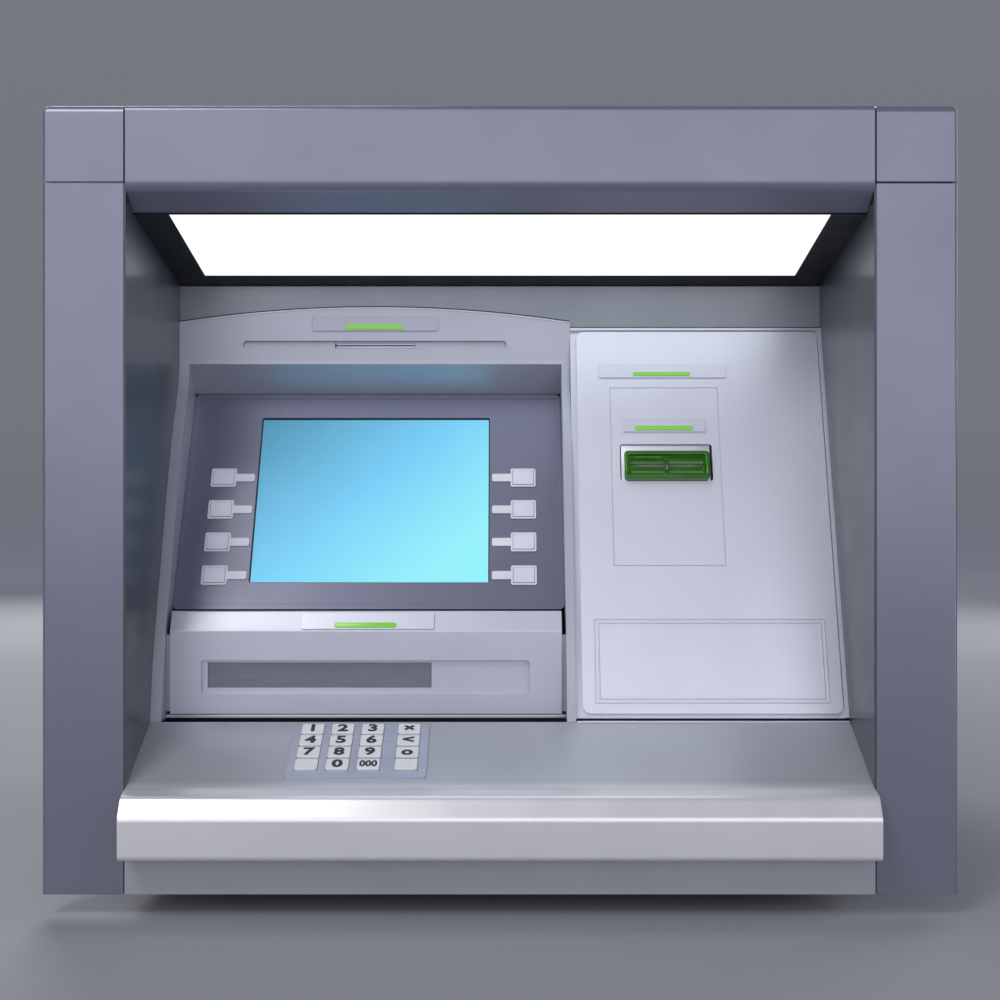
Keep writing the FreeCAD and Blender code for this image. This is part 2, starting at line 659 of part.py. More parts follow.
def screen_surround():
    """The arched frame round the display and the cash panel, with ledges that carry both."""
    arch_end = FASCIA_FOOT_Z + ARCH_END_RISE
    peak = arch_end + ARCH_RISE
    block_back = FASCIA_FACE_Y + SURROUND_BLOCK_DEPTH
    back = display_back_line()
    block_low = back[0][1]
    front = Part.BSplineCurve()
    front.interpolate([Vector(0, SHELF_DEPTH + y, FASCIA_FOOT_Z + z) for z, y in RAIL_FRONT])
    straight = [(FASCIA_FACE_Y, FASCIA_FOOT_Z + RAIL_FRONT[0][0]), (FASCIA_FACE_Y, peak + 1),
                (FASCIA_FACE_Y + FASCIA_FLANGE, peak + 1),
                (FASCIA_FACE_Y + FASCIA_FLANGE, FASCIA_FOOT_Z + FASCIA_BACK_RISE - 0.5),
                (block_back, FASCIA_FOOT_Z + FASCIA_BACK_RISE - 0.5), (block_back, block_low)] + back
    straight.append((SHELF_DEPTH + RAIL_FRONT[-1][1], FASCIA_FOOT_Z + RAIL_FRONT[-1][0]))
    edges = [front.toShape()]
    for (ya, za), (yb, zb) in zip(straight, straight[1:]):
        if math.hypot(yb - ya, zb - za) > SMALL:
            edges.append(Part.LineSegment(Vector(0, ya, za), Vector(0, yb, zb)).toShape())
    side = Part.Face(Part.Wire(Part.__sortEdges__(edges)))
    side.translate(Vector(-BAY, 0, 0))
    body = side.extrude(Vector(DIVIDER_RIGHT + BAY, 0, 0))

    arc = Part.Arc(Vector(-BAY, 0, arch_end), Vector(MODULE_CENTRE, 0, peak),
                   Vector(DIVIDER_RIGHT, 0, arch_end))
    lower = [Vector(DIVIDER_RIGHT, 0, arch_end), Vector(DIVIDER_RIGHT, 0, 0), Vector(-BAY, 0, 0),
             Vector(-BAY, 0, arch_end)]
    outline = Part.Wire([arc.toShape()] + Part.makePolygon(lower).Edges)
    body = body.common(Part.Face(outline).extrude(Vector(0, CABINET_REAR, 0)))

    display_top = DISPLAY.point(0, DISPLAY_SLANT, 0)
    window = [(0, 0), (0, FASCIA_FOOT_Z + WINDOW_TOP_RISE), (FASCIA_FACE_Y, FASCIA_FOOT_Z + WINDOW_TOP_RISE),
              (display_top.y, display_top.z + 1), (CABINET_REAR, display_top.z + 1), (CABINET_REAR, 0)]
    body = body.cut(side_prism(window, RAIL_INNER, DIVIDER_LEFT))

    recess_half = RECEIPT_WIDTH / 2
    z = FASCIA_FOOT_Z + RECEIPT_RISE
    recess = box(-recess_half, recess_half, -RECEIPT_HEIGHT / 2, RECEIPT_HEIGHT / 2, 0, RECEIPT_RECESS + 1)
    recess = recess.makeFillet(RECEIPT_HEIGHT / 2 - 0.1, edges_along(recess, Vector(0, 0, 1)))
    recess.rotate(Vector(0, 0, 0), Vector(1, 0, 0), -90)
    recess.translate(Vector(MODULE_CENTRE, FASCIA_FACE_Y - 1, z))
    paper_half = PAPER_WIDTH / 2
    paper = box(MODULE_CENTRE - paper_half, MODULE_CENTRE + paper_half, FASCIA_FACE_Y - PAST, block_back + PAST,
                z - PAPER_GAP / 2, z + PAPER_GAP / 2)
    body = body.cut([recess, paper])

    for inner, direction in ((RAIL_INNER, 1), (DIVIDER_LEFT, -1)):
        x0, x1 = sorted((inner, inner + direction * LEDGE_WIDTH))
        shelf_back = box(x0, x1, 4, DISPLAY_SLANT - 4, -DISPLAY_THICK - LEDGE_THICK, -DISPLAY_THICK)
        cash_back = box(x0, x1, CASH_FACE_Y + CASH_THICK, CASH_FACE_Y + CASH_THICK + LEDGE_THICK,
                        FASCIA_FOOT_Z + CASH_LOW_RISE + 2, FASCIA_FOOT_Z + CASH_BEND_RISE - 4)
        body = body.fuse([DISPLAY.seat(shelf_back), cash_back])
    return [body.removeSplitter()]


def function_keys():
    """Name, centre and pointing direction of each function key, lowest first, left column first."""
    found = []
    for side, word in ((-1, "left"), (1, "right")):
        for row in range(4):
            x = MODULE_CENTRE + side * (SCREEN_WIDTH / 2 + FUNCTION_KEY_FROM_SCREEN + FUNCTION_KEY_WIDTH / 2)
            up = FUNCTION_KEY_LOW + row * FUNCTION_KEY_PITCH
            found.append((f"function_key_{word}_{row + 1}", x, up, -side))
    return found


def function_well(x, up, margin, w0, w1):
    """A function key's outline grown by a margin."""
    half_x = FUNCTION_KEY_WIDTH / 2 + margin
    half_y = FUNCTION_KEY_HEIGHT / 2 + margin
    return box(x - half_x, x + half_x, up - half_y, up + half_y, w0, w1)


def screen_box(margin, w0, w1):
    """The screen window's outline grown by a margin."""
    half = SCREEN_WIDTH / 2 + margin
    return slab(MODULE_CENTRE - half, MODULE_CENTRE + half, SCREEN_LOW - margin,
                SCREEN_LOW + SCREEN_HEIGHT + margin, w0, w1, 2.0)


def display_bezel():
    """The display's panel, with its window and the eight key wells."""
    panel = box(RAIL_INNER + PANEL_GAP, DIVIDER_LEFT - PANEL_GAP, 0, DISPLAY_SLANT, -DISPLAY_THICK, 0)
    cuts = [screen_box(0, -DISPLAY_THICK - 1, 1)]
    for _, x, up, _ in function_keys():
        cuts.append(function_well(x, up, MOVING_GAP, -DISPLAY_THICK - 1, 1))
    return [DISPLAY.seat(panel.cut(cuts))]


def display_glass():
    """The pane behind the window."""
    return [DISPLAY.seat(screen_box(GLASS_OVERLAP, -DISPLAY_THICK - GLASS_THICK, -DISPLAY_THICK))]


def lcd_monitor():
    """The monitor behind the pane, with a smaller electronics cover on its back."""
    face = -DISPLAY_THICK - GLASS_THICK
    case = screen_box(MONITOR_MARGIN, face - MONITOR_DEPTH, face)
    cover = screen_box(-3 * MONITOR_MARGIN, face - 1.5 * MONITOR_DEPTH, face - MONITOR_DEPTH)
    return [DISPLAY.seat(case.fuse(cover))]


def key_frames():
    """The raised frame round each function key, with its bar that points to the screen."""
    solids = []
    for _, x, up, direction in function_keys():
        frame = function_well(x, up, MOVING_GAP + FUNCTION_RIM, 0, FUNCTION_FRAME_PROUD)
        edge = x + direction * (FUNCTION_KEY_WIDTH / 2 + MOVING_GAP)
        x0, x1 = sorted((edge, edge + direction * (POINTER_LENGTH + FUNCTION_RIM)))
        bar = box(x0, x1, up - POINTER_HEIGHT / 2, up + POINTER_HEIGHT / 2, 0, FUNCTION_FRAME_PROUD)
        well = function_well(x, up, MOVING_GAP, -PAST, FUNCTION_FRAME_PROUD + PAST)
        solids.append(DISPLAY.seat(frame.fuse(bar).cut(well).removeSplitter()))
    return solids


def function_key(x, up):
    """One function key's cap, with softened front edges."""
    cap = function_well(x, up, 0, -FUNCTION_KEY_BEHIND, FUNCTION_KEY_TRAVEL)
    cap = cap.makeFillet(1.2, edges_along(cap, Vector(0, 0, 1)))
    rim = [e for e in cap.Edges if e.BoundBox.ZMin > FUNCTION_KEY_TRAVEL - SMALL]
    return [DISPLAY.seat(cap.makeFillet(0.6, rim))]


# ---------------------------------------------------------------- cash panel
def cash_mouth():
    """The cash mouth's left edge, right edge, low edge and high edge."""
    left = MODULE_CENTRE - CASH_RECESS_WIDTH / 2 + CASH_MOUTH_LEFT_MARGIN
    low = FASCIA_FOOT_Z + CASH_MOUTH_RISE
    return left, left + CASH_MOUTH_WIDTH, low, low + CASH_MOUTH_HEIGHT


def shutter_face_y():
    """The front of the shutter, just behind the recess's floor."""
    return CASH_FACE_Y + CASH_RECESS_DEPTH + CASH_FLOOR + MOVING_GAP


def guide_back_y():
    """The back of the lips that keep the shutter in its guides."""
    return shutter_face_y() + SHUTTER_THICK + MOVING_GAP + GUIDE_LIP_THICK


def cash_panel():
    """The panel with the cash recess, the mouth, and the guides that the shutter runs in."""
    x0 = RAIL_INNER + PANEL_GAP
    x1 = DIVIDER_LEFT - PANEL_GAP
    line = [(CASH_FACE_Y, FASCIA_FOOT_Z + CASH_LOW_RISE), (CASH_FACE_Y, FASCIA_FOOT_Z + CASH_BEND_RISE),
            (SHELF_DEPTH + CASH_TOP[0], FASCIA_FOOT_Z + CASH_TOP[1]),
            (SHELF_DEPTH + CASH_RETURN[0], FASCIA_FOOT_Z + CASH_RETURN[1])]
    panel = sheet_strip(line[::-1], [0.0, 2.0, 3.0, 0.0], CASH_THICK, x0, x1)
    recess_left = MODULE_CENTRE - CASH_RECESS_WIDTH / 2
    recess_right = MODULE_CENTRE + CASH_RECESS_WIDTH / 2
    low = FASCIA_FOOT_Z + CASH_RECESS_RISE
    high = low + CASH_RECESS_HEIGHT
    floor_front = CASH_FACE_Y + CASH_RECESS_DEPTH
    floor_back = floor_front + CASH_FLOOR
    panel = panel.fuse(box(recess_left - 4, recess_right + 4, CASH_FACE_Y + CASH_THICK / 2, floor_back,
                           low - 4, high + 4))
    left, right, mouth_low, mouth_high = cash_mouth()
    recess = box(recess_left, recess_right, CASH_FACE_Y - 1, floor_front, low, high)
    recess = recess.makeFillet(3.0, edges_along(recess, Vector(0, 1, 0)))
    mouth = box(left, right, CASH_FACE_Y - 1, floor_back + 1, mouth_low, mouth_high)
    panel = panel.cut([recess, mouth])
    back = shutter_face_y() + SHUTTER_THICK + MOVING_GAP
    guide_low = mouth_low - SHUTTER_OVERLAP - MOVING_GAP - GUIDE_WIDTH
    guide_high = mouth_high + SHUTTER_OVERLAP + SHUTTER_TRAVEL + 2 * MOVING_GAP
    reach = SHUTTER_OVERLAP + MOVING_GAP
    for edge, direction in ((left - reach, -1), (right + reach, 1)):
        a0, a1 = sorted((edge, edge + direction * GUIDE_WIDTH))
        b0, b1 = sorted((edge - direction * GUIDE_LIP, edge + direction * GUIDE_WIDTH))
        rail = box(a0, a1, CASH_FACE_Y + CASH_THICK / 2, guide_back_y(), guide_low, guide_high)
        lip = box(b0, b1, back, guide_back_y(), guide_low, guide_high)
        panel = panel.fuse([rail, lip])
    stop = box(left - SHUTTER_OVERLAP, right + SHUTTER_OVERLAP, floor_back - CASH_FLOOR / 2, back,
               guide_low, guide_low + GUIDE_WIDTH)
    return [panel.fuse(stop).cut([recess, mouth]).removeSplitter()]


def cash_shutter():
    """The plate that closes the mouth and slides up behind the panel."""
    left, right, low, high = cash_mouth()
    y0 = shutter_face_y()
    return [box(left - SHUTTER_OVERLAP, right + SHUTTER_OVERLAP, y0, y0 + SHUTTER_THICK,
                low - SHUTTER_OVERLAP, high + SHUTTER_OVERLAP)]


# ---------------------------------------------------------------- card side
def card_centre():
    """The middle of the card opening."""
    return DIVIDER_RIGHT + CARD_LEFT_GAP + CARD_CENTRE_FROM_LEFT


def card_slab(size, low, w0, w1, radius=0.0):
    """A block centred on the card opening, between two heights over the card panel."""
    half = size[0] / 2
    return slab(card_centre() - half, card_centre() + half, low, low + size[1], w0, w1, radius)


def card_hole(w0, w1, radius):
    """The hole that the card bezel stands in, taller than the bezel."""
    size = (CARD_BEZEL_SIZE[0] + 2 * CARD_HOLE_SIDE_GAP, CARD_BEZEL_SIZE[1] + CARD_HOLE_ABOVE + CARD_HOLE_BELOW)
    return card_slab(size, CARD_BEZEL_LOW - CARD_HOLE_BELOW, w0, w1, radius)


def ring(x0, x1, y0, y1, line, z0, z1):
    """A rectangular outline of one line width."""
    return box(x0, x1, y0, y1, z0, z1).cut(box(x0 + line, x1 - line, y0 + line, y1 - line, z0 - 1, z1 + 1))


def card_panel():
    """The card side's plate: an engraved outline round the slot and an embossed double outline below."""
    x0 = DIVIDER_RIGHT + CARD_LEFT_GAP
    x1 = BAY - CARD_RIGHT_GAP
    plate = slab(x0, x1, 0, CARD_SLANT, -CARD_THICK, 0, CARD_CORNER)
    half = ENGRAVED_SIZE[0] / 2
    groove = ring(card_centre() - half, card_centre() + half, ENGRAVED_LOW, ENGRAVED_LOW + ENGRAVED_SIZE[1],
                  GROOVE, -GROOVE, 1)
    hole = card_hole(-CARD_THICK - 1, 1, 3.0)
    plate = plate.cut([groove, hole])
    for inset in (0.0, EMBOSS_INSET):
        left = x0 + EMBOSS_SIDE + inset
        right = x1 - EMBOSS_SIDE - inset
        plate = plate.fuse(ring(left, right, EMBOSS_LOW + inset, EMBOSS_LOW + EMBOSS_TALL - inset,
                                EMBOSS_LINE, -CARD_THICK / 2, EMBOSS_HEIGHT))
    return [CARD.seat(plate.removeSplitter())]


def card_tray():
    """The shallow tray that the card panel lies in, from the divider to the cheek."""
    back = -CARD_THICK - TRAY_PLATE
    plate = box(DIVIDER_RIGHT, BAY, -TRAY_OVERHANG, CARD_SLANT + TRAY_OVERHANG, back, -CARD_THICK)
    end = CARD_SLANT + TRAY_OVERHANG
    right = box(BAY - CARD_RIGHT_GAP + RIM_GAP, BAY, -TRAY_OVERHANG, end, back, TRAY_RIM_HEIGHT)
    top = box(DIVIDER_RIGHT, BAY, CARD_SLANT + RIM_GAP, end, back, TRAY_RIM_HEIGHT)
    hole = card_hole(back - 1, 1, 3.0)
    return [CARD.seat(plate.fuse([right, top]).cut(hole).removeSplitter())]


def card_slot_low():
    """The low edge of the card slot, in the middle of the bezel."""
    return CARD_BEZEL_LOW + (CARD_BEZEL_SIZE[1] - CARD_SLOT[1]) / 2


def card_bezel():
    """The translucent mouth of the card slot, with a sunk throat."""
    back = -CARD_THICK - TRAY_PLATE
    block = card_slab(CARD_BEZEL_SIZE, CARD_BEZEL_LOW, back, CARD_BEZEL_PROUD, CARD_BEZEL_CORNER)
    rim = [e for e in block.Edges if e.BoundBox.ZMin > CARD_BEZEL_PROUD - SMALL]
    block = block.makeFillet(2.0, rim)
    margin = CARD_THROAT_MARGIN
    throat_size = (CARD_BEZEL_SIZE[0] - 2 * margin, CARD_BEZEL_SIZE[1] - 2 * margin)
    throat = card_slab(throat_size, CARD_BEZEL_LOW + margin, CARD_BEZEL_PROUD - CARD_THROAT_DEPTH,
                       CARD_BEZEL_PROUD + 1, 2.0)
    slot = card_slab(CARD_SLOT, card_slot_low(), back - PAST, CARD_BEZEL_PROUD + PAST)
    return [CARD.seat(block.cut([throat, slot]))]


def card_reader():
    """The reader on the back of the tray, in line with the slot."""
    front = -CARD_THICK - TRAY_PLATE
    size = (CARD_BEZEL_SIZE[0] + 2 * READER_SIDE_MARGIN, CARD_BEZEL_SIZE[1] + 2 * READER_UP_MARGIN)
    body = card_slab(size, CARD_BEZEL_LOW - READER_UP_MARGIN, front - READER_DEPTH, front)
    slot = card_slab(CARD_SLOT, card_slot_low(), front - READER_SLOT_DEPTH, front + 1)
    return [CARD.seat(body.cut(slot))]


# ---------------------------------------------------------------- indicators
def indicator_places():
    """Each indicator: its face, the plate's edges on it and the lens's edges on it."""
    upright = Slope(FASCIA_FACE_Y, FASCIA_FOOT_Z, 90.0)
    bend = math.degrees(math.atan2(CASH_TOP[1] - CASH_BEND_RISE, CASH_TOP[0] - CASH_BEHIND_SHELF))
    cash_top = Slope(CASH_FACE_Y, FASCIA_FOOT_Z + CASH_BEND_RISE, bend)
    middle = MODULE_CENTRE
    card = card_centre()
    return [
        (upright, (middle - 65.4, middle + 66.9, 391.3, 406.3), (middle - 30.5, middle + 30.5, 392.3, 398.8)),
        (cash_top, (middle - 62.5, middle + 67.5, 1.5, 19.0), (middle - 30.5, middle + 30.5, 2.5, 8.5)),
        (CARD, (card - 67.4, card + 65.3, 348.5, 363.6), (card - 31.7, card + 28.1, 350.0, 355.0)),
        (CARD, (card - 44.0, card + 41.3, 288.9, 304.0), (card - 31.4, card + 28.2, 290.3, 295.6)),
    ]


def indicator_plates():
    """The small bright plates over the slots."""
    return [face.seat(slab(*plate, 0, PLATE_THICK, 2.0)) for face, plate, _ in indicator_places()]


def indicator_lenses():
    """The green lens on each plate."""
    top = PLATE_THICK + LENS_THICK
    return [face.seat(slab(*lens, PLATE_THICK, top, 1.0)) for face, _, lens in indicator_places()]


# ---------------------------------------------------------------- receipt printer
def printer_top():
    """The height of the printer's roof."""
    return FASCIA_FOOT_Z + RECEIPT_RISE + PRINTER_ABOVE_SLOT


def spindle_centre():
    """Where the paper roll turns."""
    return FASCIA_FACE_Y + SURROUND_BLOCK_DEPTH + SPINDLE_BEHIND, printer_top() + ROLL_RADIUS + ROLL_LIFT


def receipt_printer():
    """The printer behind the arch, with the paper's way through it and the two arms of its spindle."""
    y0 = FASCIA_FACE_Y + SURROUND_BLOCK_DEPTH
    top = printer_top()
    half = PRINTER_WIDTH / 2
    body = box(MODULE_CENTRE - half, MODULE_CENTRE + half, y0, y0 + PRINTER_DEPTH, top - PRINTER_HEIGHT, top)
    z = FASCIA_FOOT_Z + RECEIPT_RISE
    paper_half = PAPER_WIDTH / 2
    way = box(MODULE_CENTRE - paper_half, MODULE_CENTRE + paper_half, y0 - PAST, y0 + PAPER_WAY_DEPTH,
              z - PAPER_GAP / 2, z + PAPER_GAP / 2)
    body = body.cut(way)
    y, centre_z = spindle_centre()
    reach = ROLL_WIDTH / 2 + 2 * MOVING_GAP
    for side in (-1, 1):
        x0, x1 = sorted((MODULE_CENTRE + side * reach, MODULE_CENTRE + side * (reach + SPINDLE_ARM)))
        body = body.fuse(box(x0, x1, y - SPINDLE_ARM_HALF, y + SPINDLE_ARM_HALF,
                             top, centre_z + SPINDLE_ARM_HALF))
    spindle_start = MODULE_CENTRE - reach - SPINDLE_ARM
    spindle_length = 2 * (reach + SPINDLE_ARM)
    body = body.fuse(cylinder(SPINDLE_RADIUS, (spindle_start, y, centre_z), (1, 0, 0), spindle_length))
    return [body.removeSplitter()]


def receipt_roll():
    """The roll of paper, free on its spindle."""
    y, z = spindle_centre()
    start = (MODULE_CENTRE - ROLL_WIDTH / 2, y, z)
    roll = cylinder(ROLL_RADIUS, start, (1, 0, 0), ROLL_WIDTH)
    return [roll.cut(cylinder(SPINDLE_RADIUS + RUNNING_FIT, start, (1, 0, 0), ROLL_WIDTH))]


# ---------------------------------------------------------------- hinges
def hinge(axis_x, z0, radius, pin, knuckle, door_edge):
    """A three-knuckle hinge on the right side: the frame's half with its pin, and the door's half."""
    axis_y = DOOR_FACE
    frame = cylinder(pin, (axis_x, axis_y, z0), (0, 0, 1), 3 * knuckle)
    for low in (z0, z0 + 2 * knuckle):
        frame = frame.fuse(cylinder(radius, (axis_x, axis_y, low), (0, 0, 1), knuckle))
        frame = frame.fuse(box(CABINET_HALF, axis_x, axis_y - radius - 4, CABINET_REAR, low, low + knuckle))
    leaf_end = axis_y - radius - 3
    frame = frame.fuse(box(CABINET_HALF, CABINET_HALF + LEAF_THICK, leaf_end - LEAF_REACH, leaf_end,
                           z0, z0 + 3 * knuckle))
    low = z0 + knuckle + MOVING_GAP
    high = z0 + 2 * knuckle - MOVING_GAP
    door = cylinder(radius, (axis_x, axis_y, low), (0, 0, 1), high - low)
    door = door.fuse(box(door_edge - 1, axis_x, axis_y, axis_y + 0.7 * radius, low, high))
    bore = cylinder(pin + RUNNING_FIT, (axis_x, axis_y, low - 1), (0, 0, 1), high - low + 2)
    return frame.removeSplitter(), door.cut(bore).removeSplitter()


def rear_hinges():
    """The service door's two hinges."""
    height = TOP - VAULT_TOP
    axis_x = CABINET_HALF + HINGE_STANDOFF
    edge = CABINET_HALF - DOOR_SIDE_INSET
    return [hinge(axis_x, VAULT_TOP + share * height - 1.5 * HINGE_KNUCKLE, HINGE_RADIUS, HINGE_PIN,
                  HINGE_KNUCKLE, edge) for share in (0.22, 0.78)]


def vault_hinges():
    """The vault door's two hinges."""
    axis_x = CABINET_HALF + VAULT_HINGE_STANDOFF
    edge = CABINET_HALF - VAULT_DOOR_INSET
    return [hinge(axis_x, BASE + share * VAULT_HEIGHT - 1.5 * VAULT_HINGE_KNUCKLE, VAULT_HINGE_RADIUS,
                  VAULT_HINGE_PIN, VAULT_HINGE_KNUCKLE, edge) for share in (0.24, 0.76)]


# ---------------------------------------------------------------- upper cabinet
def both_sides(x0, x1, y0, y1, z0, z1):
    """The same box on the left and on the right."""
    return [box(x0, x1, y0, y1, z0, z1), box(-x1, -x0, y0, y1, z0, z1)]


def neck_plates():
    """Four plates that line the way through the wall. The side plates meet the columns' inner edges."""
    low = BASE + NECK_MARGIN_LOW
    high = TOP - NECK_MARGIN_TOP
    plates = both_sides(COLUMN_INNER, COLUMN_INNER + SHEET, SURROUND_DEPTH - NECK_LAP, CABINET_FRONT, low, high)
    for z in (low, high - SHEET):
        plates.append(box(-COLUMN_INNER, COLUMN_INNER, SURROUND_DEPTH, CABINET_FRONT, z, z + SHEET))
    return plates


def cabinet_frames():
    """The plates round the cabinet's front opening, and the posts and rails round its rear one."""
    under_roof = TOP - SHEET
    inside = CABINET_HALF - SHEET
    opening = CABINET_HALF - REAR_FLANGE
    frames = both_sides(COLUMN_INNER, inside, CABINET_FRONT, CABINET_FRONT + SHEET, VAULT_TOP, under_roof)
    frames.append(box(-COLUMN_INNER, COLUMN_INNER, CABINET_FRONT, CABINET_FRONT + SHEET,
                      TOP - NECK_MARGIN_TOP - SHEET, under_roof))
    frames += both_sides(opening, inside, CABINET_REAR - SHEET, CABINET_REAR, VAULT_TOP, under_roof)
    for z0, z1 in ((VAULT_TOP, VAULT_TOP + REAR_FLANGE), (TOP - REAR_FLANGE, under_roof)):
        frames.append(box(-opening, opening, CABINET_REAR - SHEET, CABINET_REAR, z0, z1))
    return frames


def cabinet_shell():
    """The neck through the wall and the sheet-metal service cabinet on the vault, plate by plate."""
    left, right = both_sides(-CABINET_HALF, -CABINET_HALF + SHEET, CABINET_FRONT, CABINET_REAR,
                             VAULT_TOP, TOP - SHEET)
    roof = box(-CABINET_HALF, CABINET_HALF, CABINET_FRONT, CABINET_REAR, TOP - SHEET, TOP)
    gland_y = CABINET_REAR - GLAND_FROM_REAR
    gland_z = VAULT_TOP + GLAND_HEIGHT
    gland_hole = cylinder(GLAND_HOLE, (CABINET_HALF - 2 * SHEET, gland_y, gland_z), (1, 0, 0), 2 * GLAND_LENGTH)
    collar = cylinder(GLAND_RADIUS, (CABINET_HALF, gland_y, gland_z), (1, 0, 0), GLAND_LENGTH).cut(gland_hole)
    plates = [left, right.cut(gland_hole), roof] + neck_plates() + cabinet_frames()
    return plates + [collar] + [frame for frame, _ in rear_hinges()]


def latch_centre():
    """The latch's axis on the service door."""
    return -CABINET_HALF + REAR_FLANGE + LATCH_INSET, (VAULT_TOP + TOP) / 2


def rear_door():
    """The service door: a shallow pan with louvres, and its hinge halves."""
    x = CABINET_HALF - DOOR_SIDE_INSET
    z0 = VAULT_TOP + DOOR_SIDE_INSET
    z1 = TOP - DOOR_SIDE_INSET
    back = DOOR_FACE + REAR_DOOR_DEPTH
    pan = box(-x, x, DOOR_FACE, back, z0, z1)
    hollow = box(-x + SHEET, x - SHEET, DOOR_FACE - 1, back - SHEET, z0 + SHEET, z1 - SHEET)
    cuts = [hollow]
    first = z1 - LOUVRE_FROM_TOP - (LOUVRE_COUNT - 1) * LOUVRE_PITCH
    for side in (-1, 1):
        centre = side * LOUVRE_FROM_MIDDLE
        for index in range(LOUVRE_COUNT):
            low = first + index * LOUVRE_PITCH
            half = LOUVRE_SIZE[0] / 2
            cuts.append(box(centre - half, centre + half, back - 2 * SHEET, back + PAST,
                            low, low + LOUVRE_SIZE[1]))
    latch_x, latch_z = latch_centre()
    cuts.append(cylinder(LATCH_SHAFT + RUNNING_FIT, (latch_x, DOOR_FACE, latch_z), (0, 1, 0),
                         2 * REAR_DOOR_DEPTH))
    door = pan.cut(cuts)
    return [door.fuse([half for _, half in rear_hinges()]).removeSplitter()]


def rear_door_latch():
    """A quarter-turn latch: grip outside, shaft through the door, cam that turns behind the flange."""
    x, z = latch_centre()
    back = DOOR_FACE + REAR_DOOR_DEPTH
    cam_y = CABINET_REAR - SHEET - LATCH_CAM_GAP - LATCH_CAM_THICK
    grip = back + LATCH_COLLAR_THICK
    latch = cylinder(LATCH_SHAFT, (x, cam_y, z), (0, 1, 0), grip - cam_y)
    latch = latch.fuse(cylinder(LATCH_SHAFT + LATCH_COLLAR, (x, back + MOVING_GAP, z), (0, 1, 0),
                                LATCH_COLLAR_THICK))
    latch = latch.fuse(box(x - LATCH_COLLAR_THICK, x + LATCH_COLLAR_THICK, grip, grip + LATCH_GRIP_DEPTH,
                           z - LATCH_GRIP_HALF, z + LATCH_GRIP_HALF))
    latch = latch.fuse(box(x - LATCH_CAM_HALF, x + LATCH_CAM_HALF, cam_y, cam_y + LATCH_CAM_THICK,
                           z, z + LATCH_CAM))
    return [latch.removeSplitter()]


def pc_unit():
    """The computer that runs the machine, on the vault's roof."""
    x1 = CABINET_HALF - PC_CLEARANCE
    y1 = CABINET_REAR - PC_CLEARANCE
    return [box(x1 - PC_SIZE[0], x1, y1 - PC_SIZE[1], y1, VAULT_TOP, VAULT_TOP + PC_SIZE[2])]


# ---------------------------------------------------------------- vault
def vault_inside():
    """The vault's inner faces: half width, front, lip, floor and roof."""
    return (CABINET_HALF - VAULT_WALL, CABINET_FRONT + VAULT_WALL, CABINET_REAR - VAULT_WALL,
            BASE + VAULT_WALL, VAULT_TOP - VAULT_WALL)


def nozzle_edges(margin):
    """The presenter nozzle's outline behind the cash mouth, grown by a margin."""
    left, right, low, high = cash_mouth()
    return left + NOZZLE_WALL - margin, right - NOZZLE_WALL + margin, low - margin, high + margin


def anchor_centres():
    """The four anchor holes in the vault's floor."""
    x = CABINET_HALF - ANCHOR_INSET_X
    depths = (CABINET_FRONT + ANCHOR_INSET_Y, CABINET_REAR - ANCHOR_INSET_Y)
    return [(side * x, y) for side in (-1, 1) for y in depths]


def vault_body():
    """The vault's thick plates: open behind, with a lip for the bolts, a way for the notes, anchor holes."""
    half, front, rear, floor, roof = vault_inside()
    base = box(-CABINET_HALF, CABINET_HALF, CABINET_FRONT, CABINET_REAR, BASE, floor)
    for x, y in anchor_centres():
        base = base.cut(cylinder(ANCHOR_RADIUS, (x, y, BASE - PAST), (0, 0, 1), VAULT_WALL + 2 * PAST))
    top = box(-CABINET_HALF, CABINET_HALF, CABINET_FRONT, CABINET_REAR, roof, VAULT_TOP)
    sides = both_sides(half, CABINET_HALF, CABINET_FRONT, CABINET_REAR, floor, roof)
    x0, x1, z0, z1 = nozzle_edges(NOZZLE_WALL + NOZZLE_GAP)
    nozzle_hole = box(x0, x1, CABINET_FRONT - PAST, front + PAST, z0, z1)
    face = box(-half, half, CABINET_FRONT, front, floor, roof).cut(nozzle_hole)
    opening = half - VAULT_LIP
    lips = both_sides(opening, half, rear, CABINET_REAR, floor, roof)
    for low, high in ((floor, floor + VAULT_LIP_LOW), (roof - VAULT_LIP_LOW, roof)):
        lips.append(box(-opening, opening, rear, CABINET_REAR, low, high))
    return [base, top, face] + sides + lips + [frame for frame, _ in vault_hinges()]


def bolt_heights():
    """The height of each bolt."""
    _, _, _, floor, roof = vault_inside()
    low = floor + VAULT_LIP_LOW + VAULT_PLUG_GAP + BOLT_END_MARGIN
    high = roof - VAULT_LIP_LOW - VAULT_PLUG_GAP - BOLT_END_MARGIN
    return [low + index * (high - low) / (BOLT_COUNT - 1) for index in range(BOLT_COUNT)]


def plug_half():
    """Half the width of the vault door's plug."""
    return CABINET_HALF - VAULT_WALL - VAULT_LIP - VAULT_PLUG_GAP


def bolt_axis_y():
    """The bolts' distance into the wall, just in front of the vault's lip."""
    return CABINET_REAR - VAULT_WALL - BOLT_BEHIND_LIP - BOLT_RADIUS


def handle_centre():
    """The handle's axis on the vault door."""
    return -CABINET_HALF + HANDLE_INSET, (BASE + VAULT_TOP) / 2


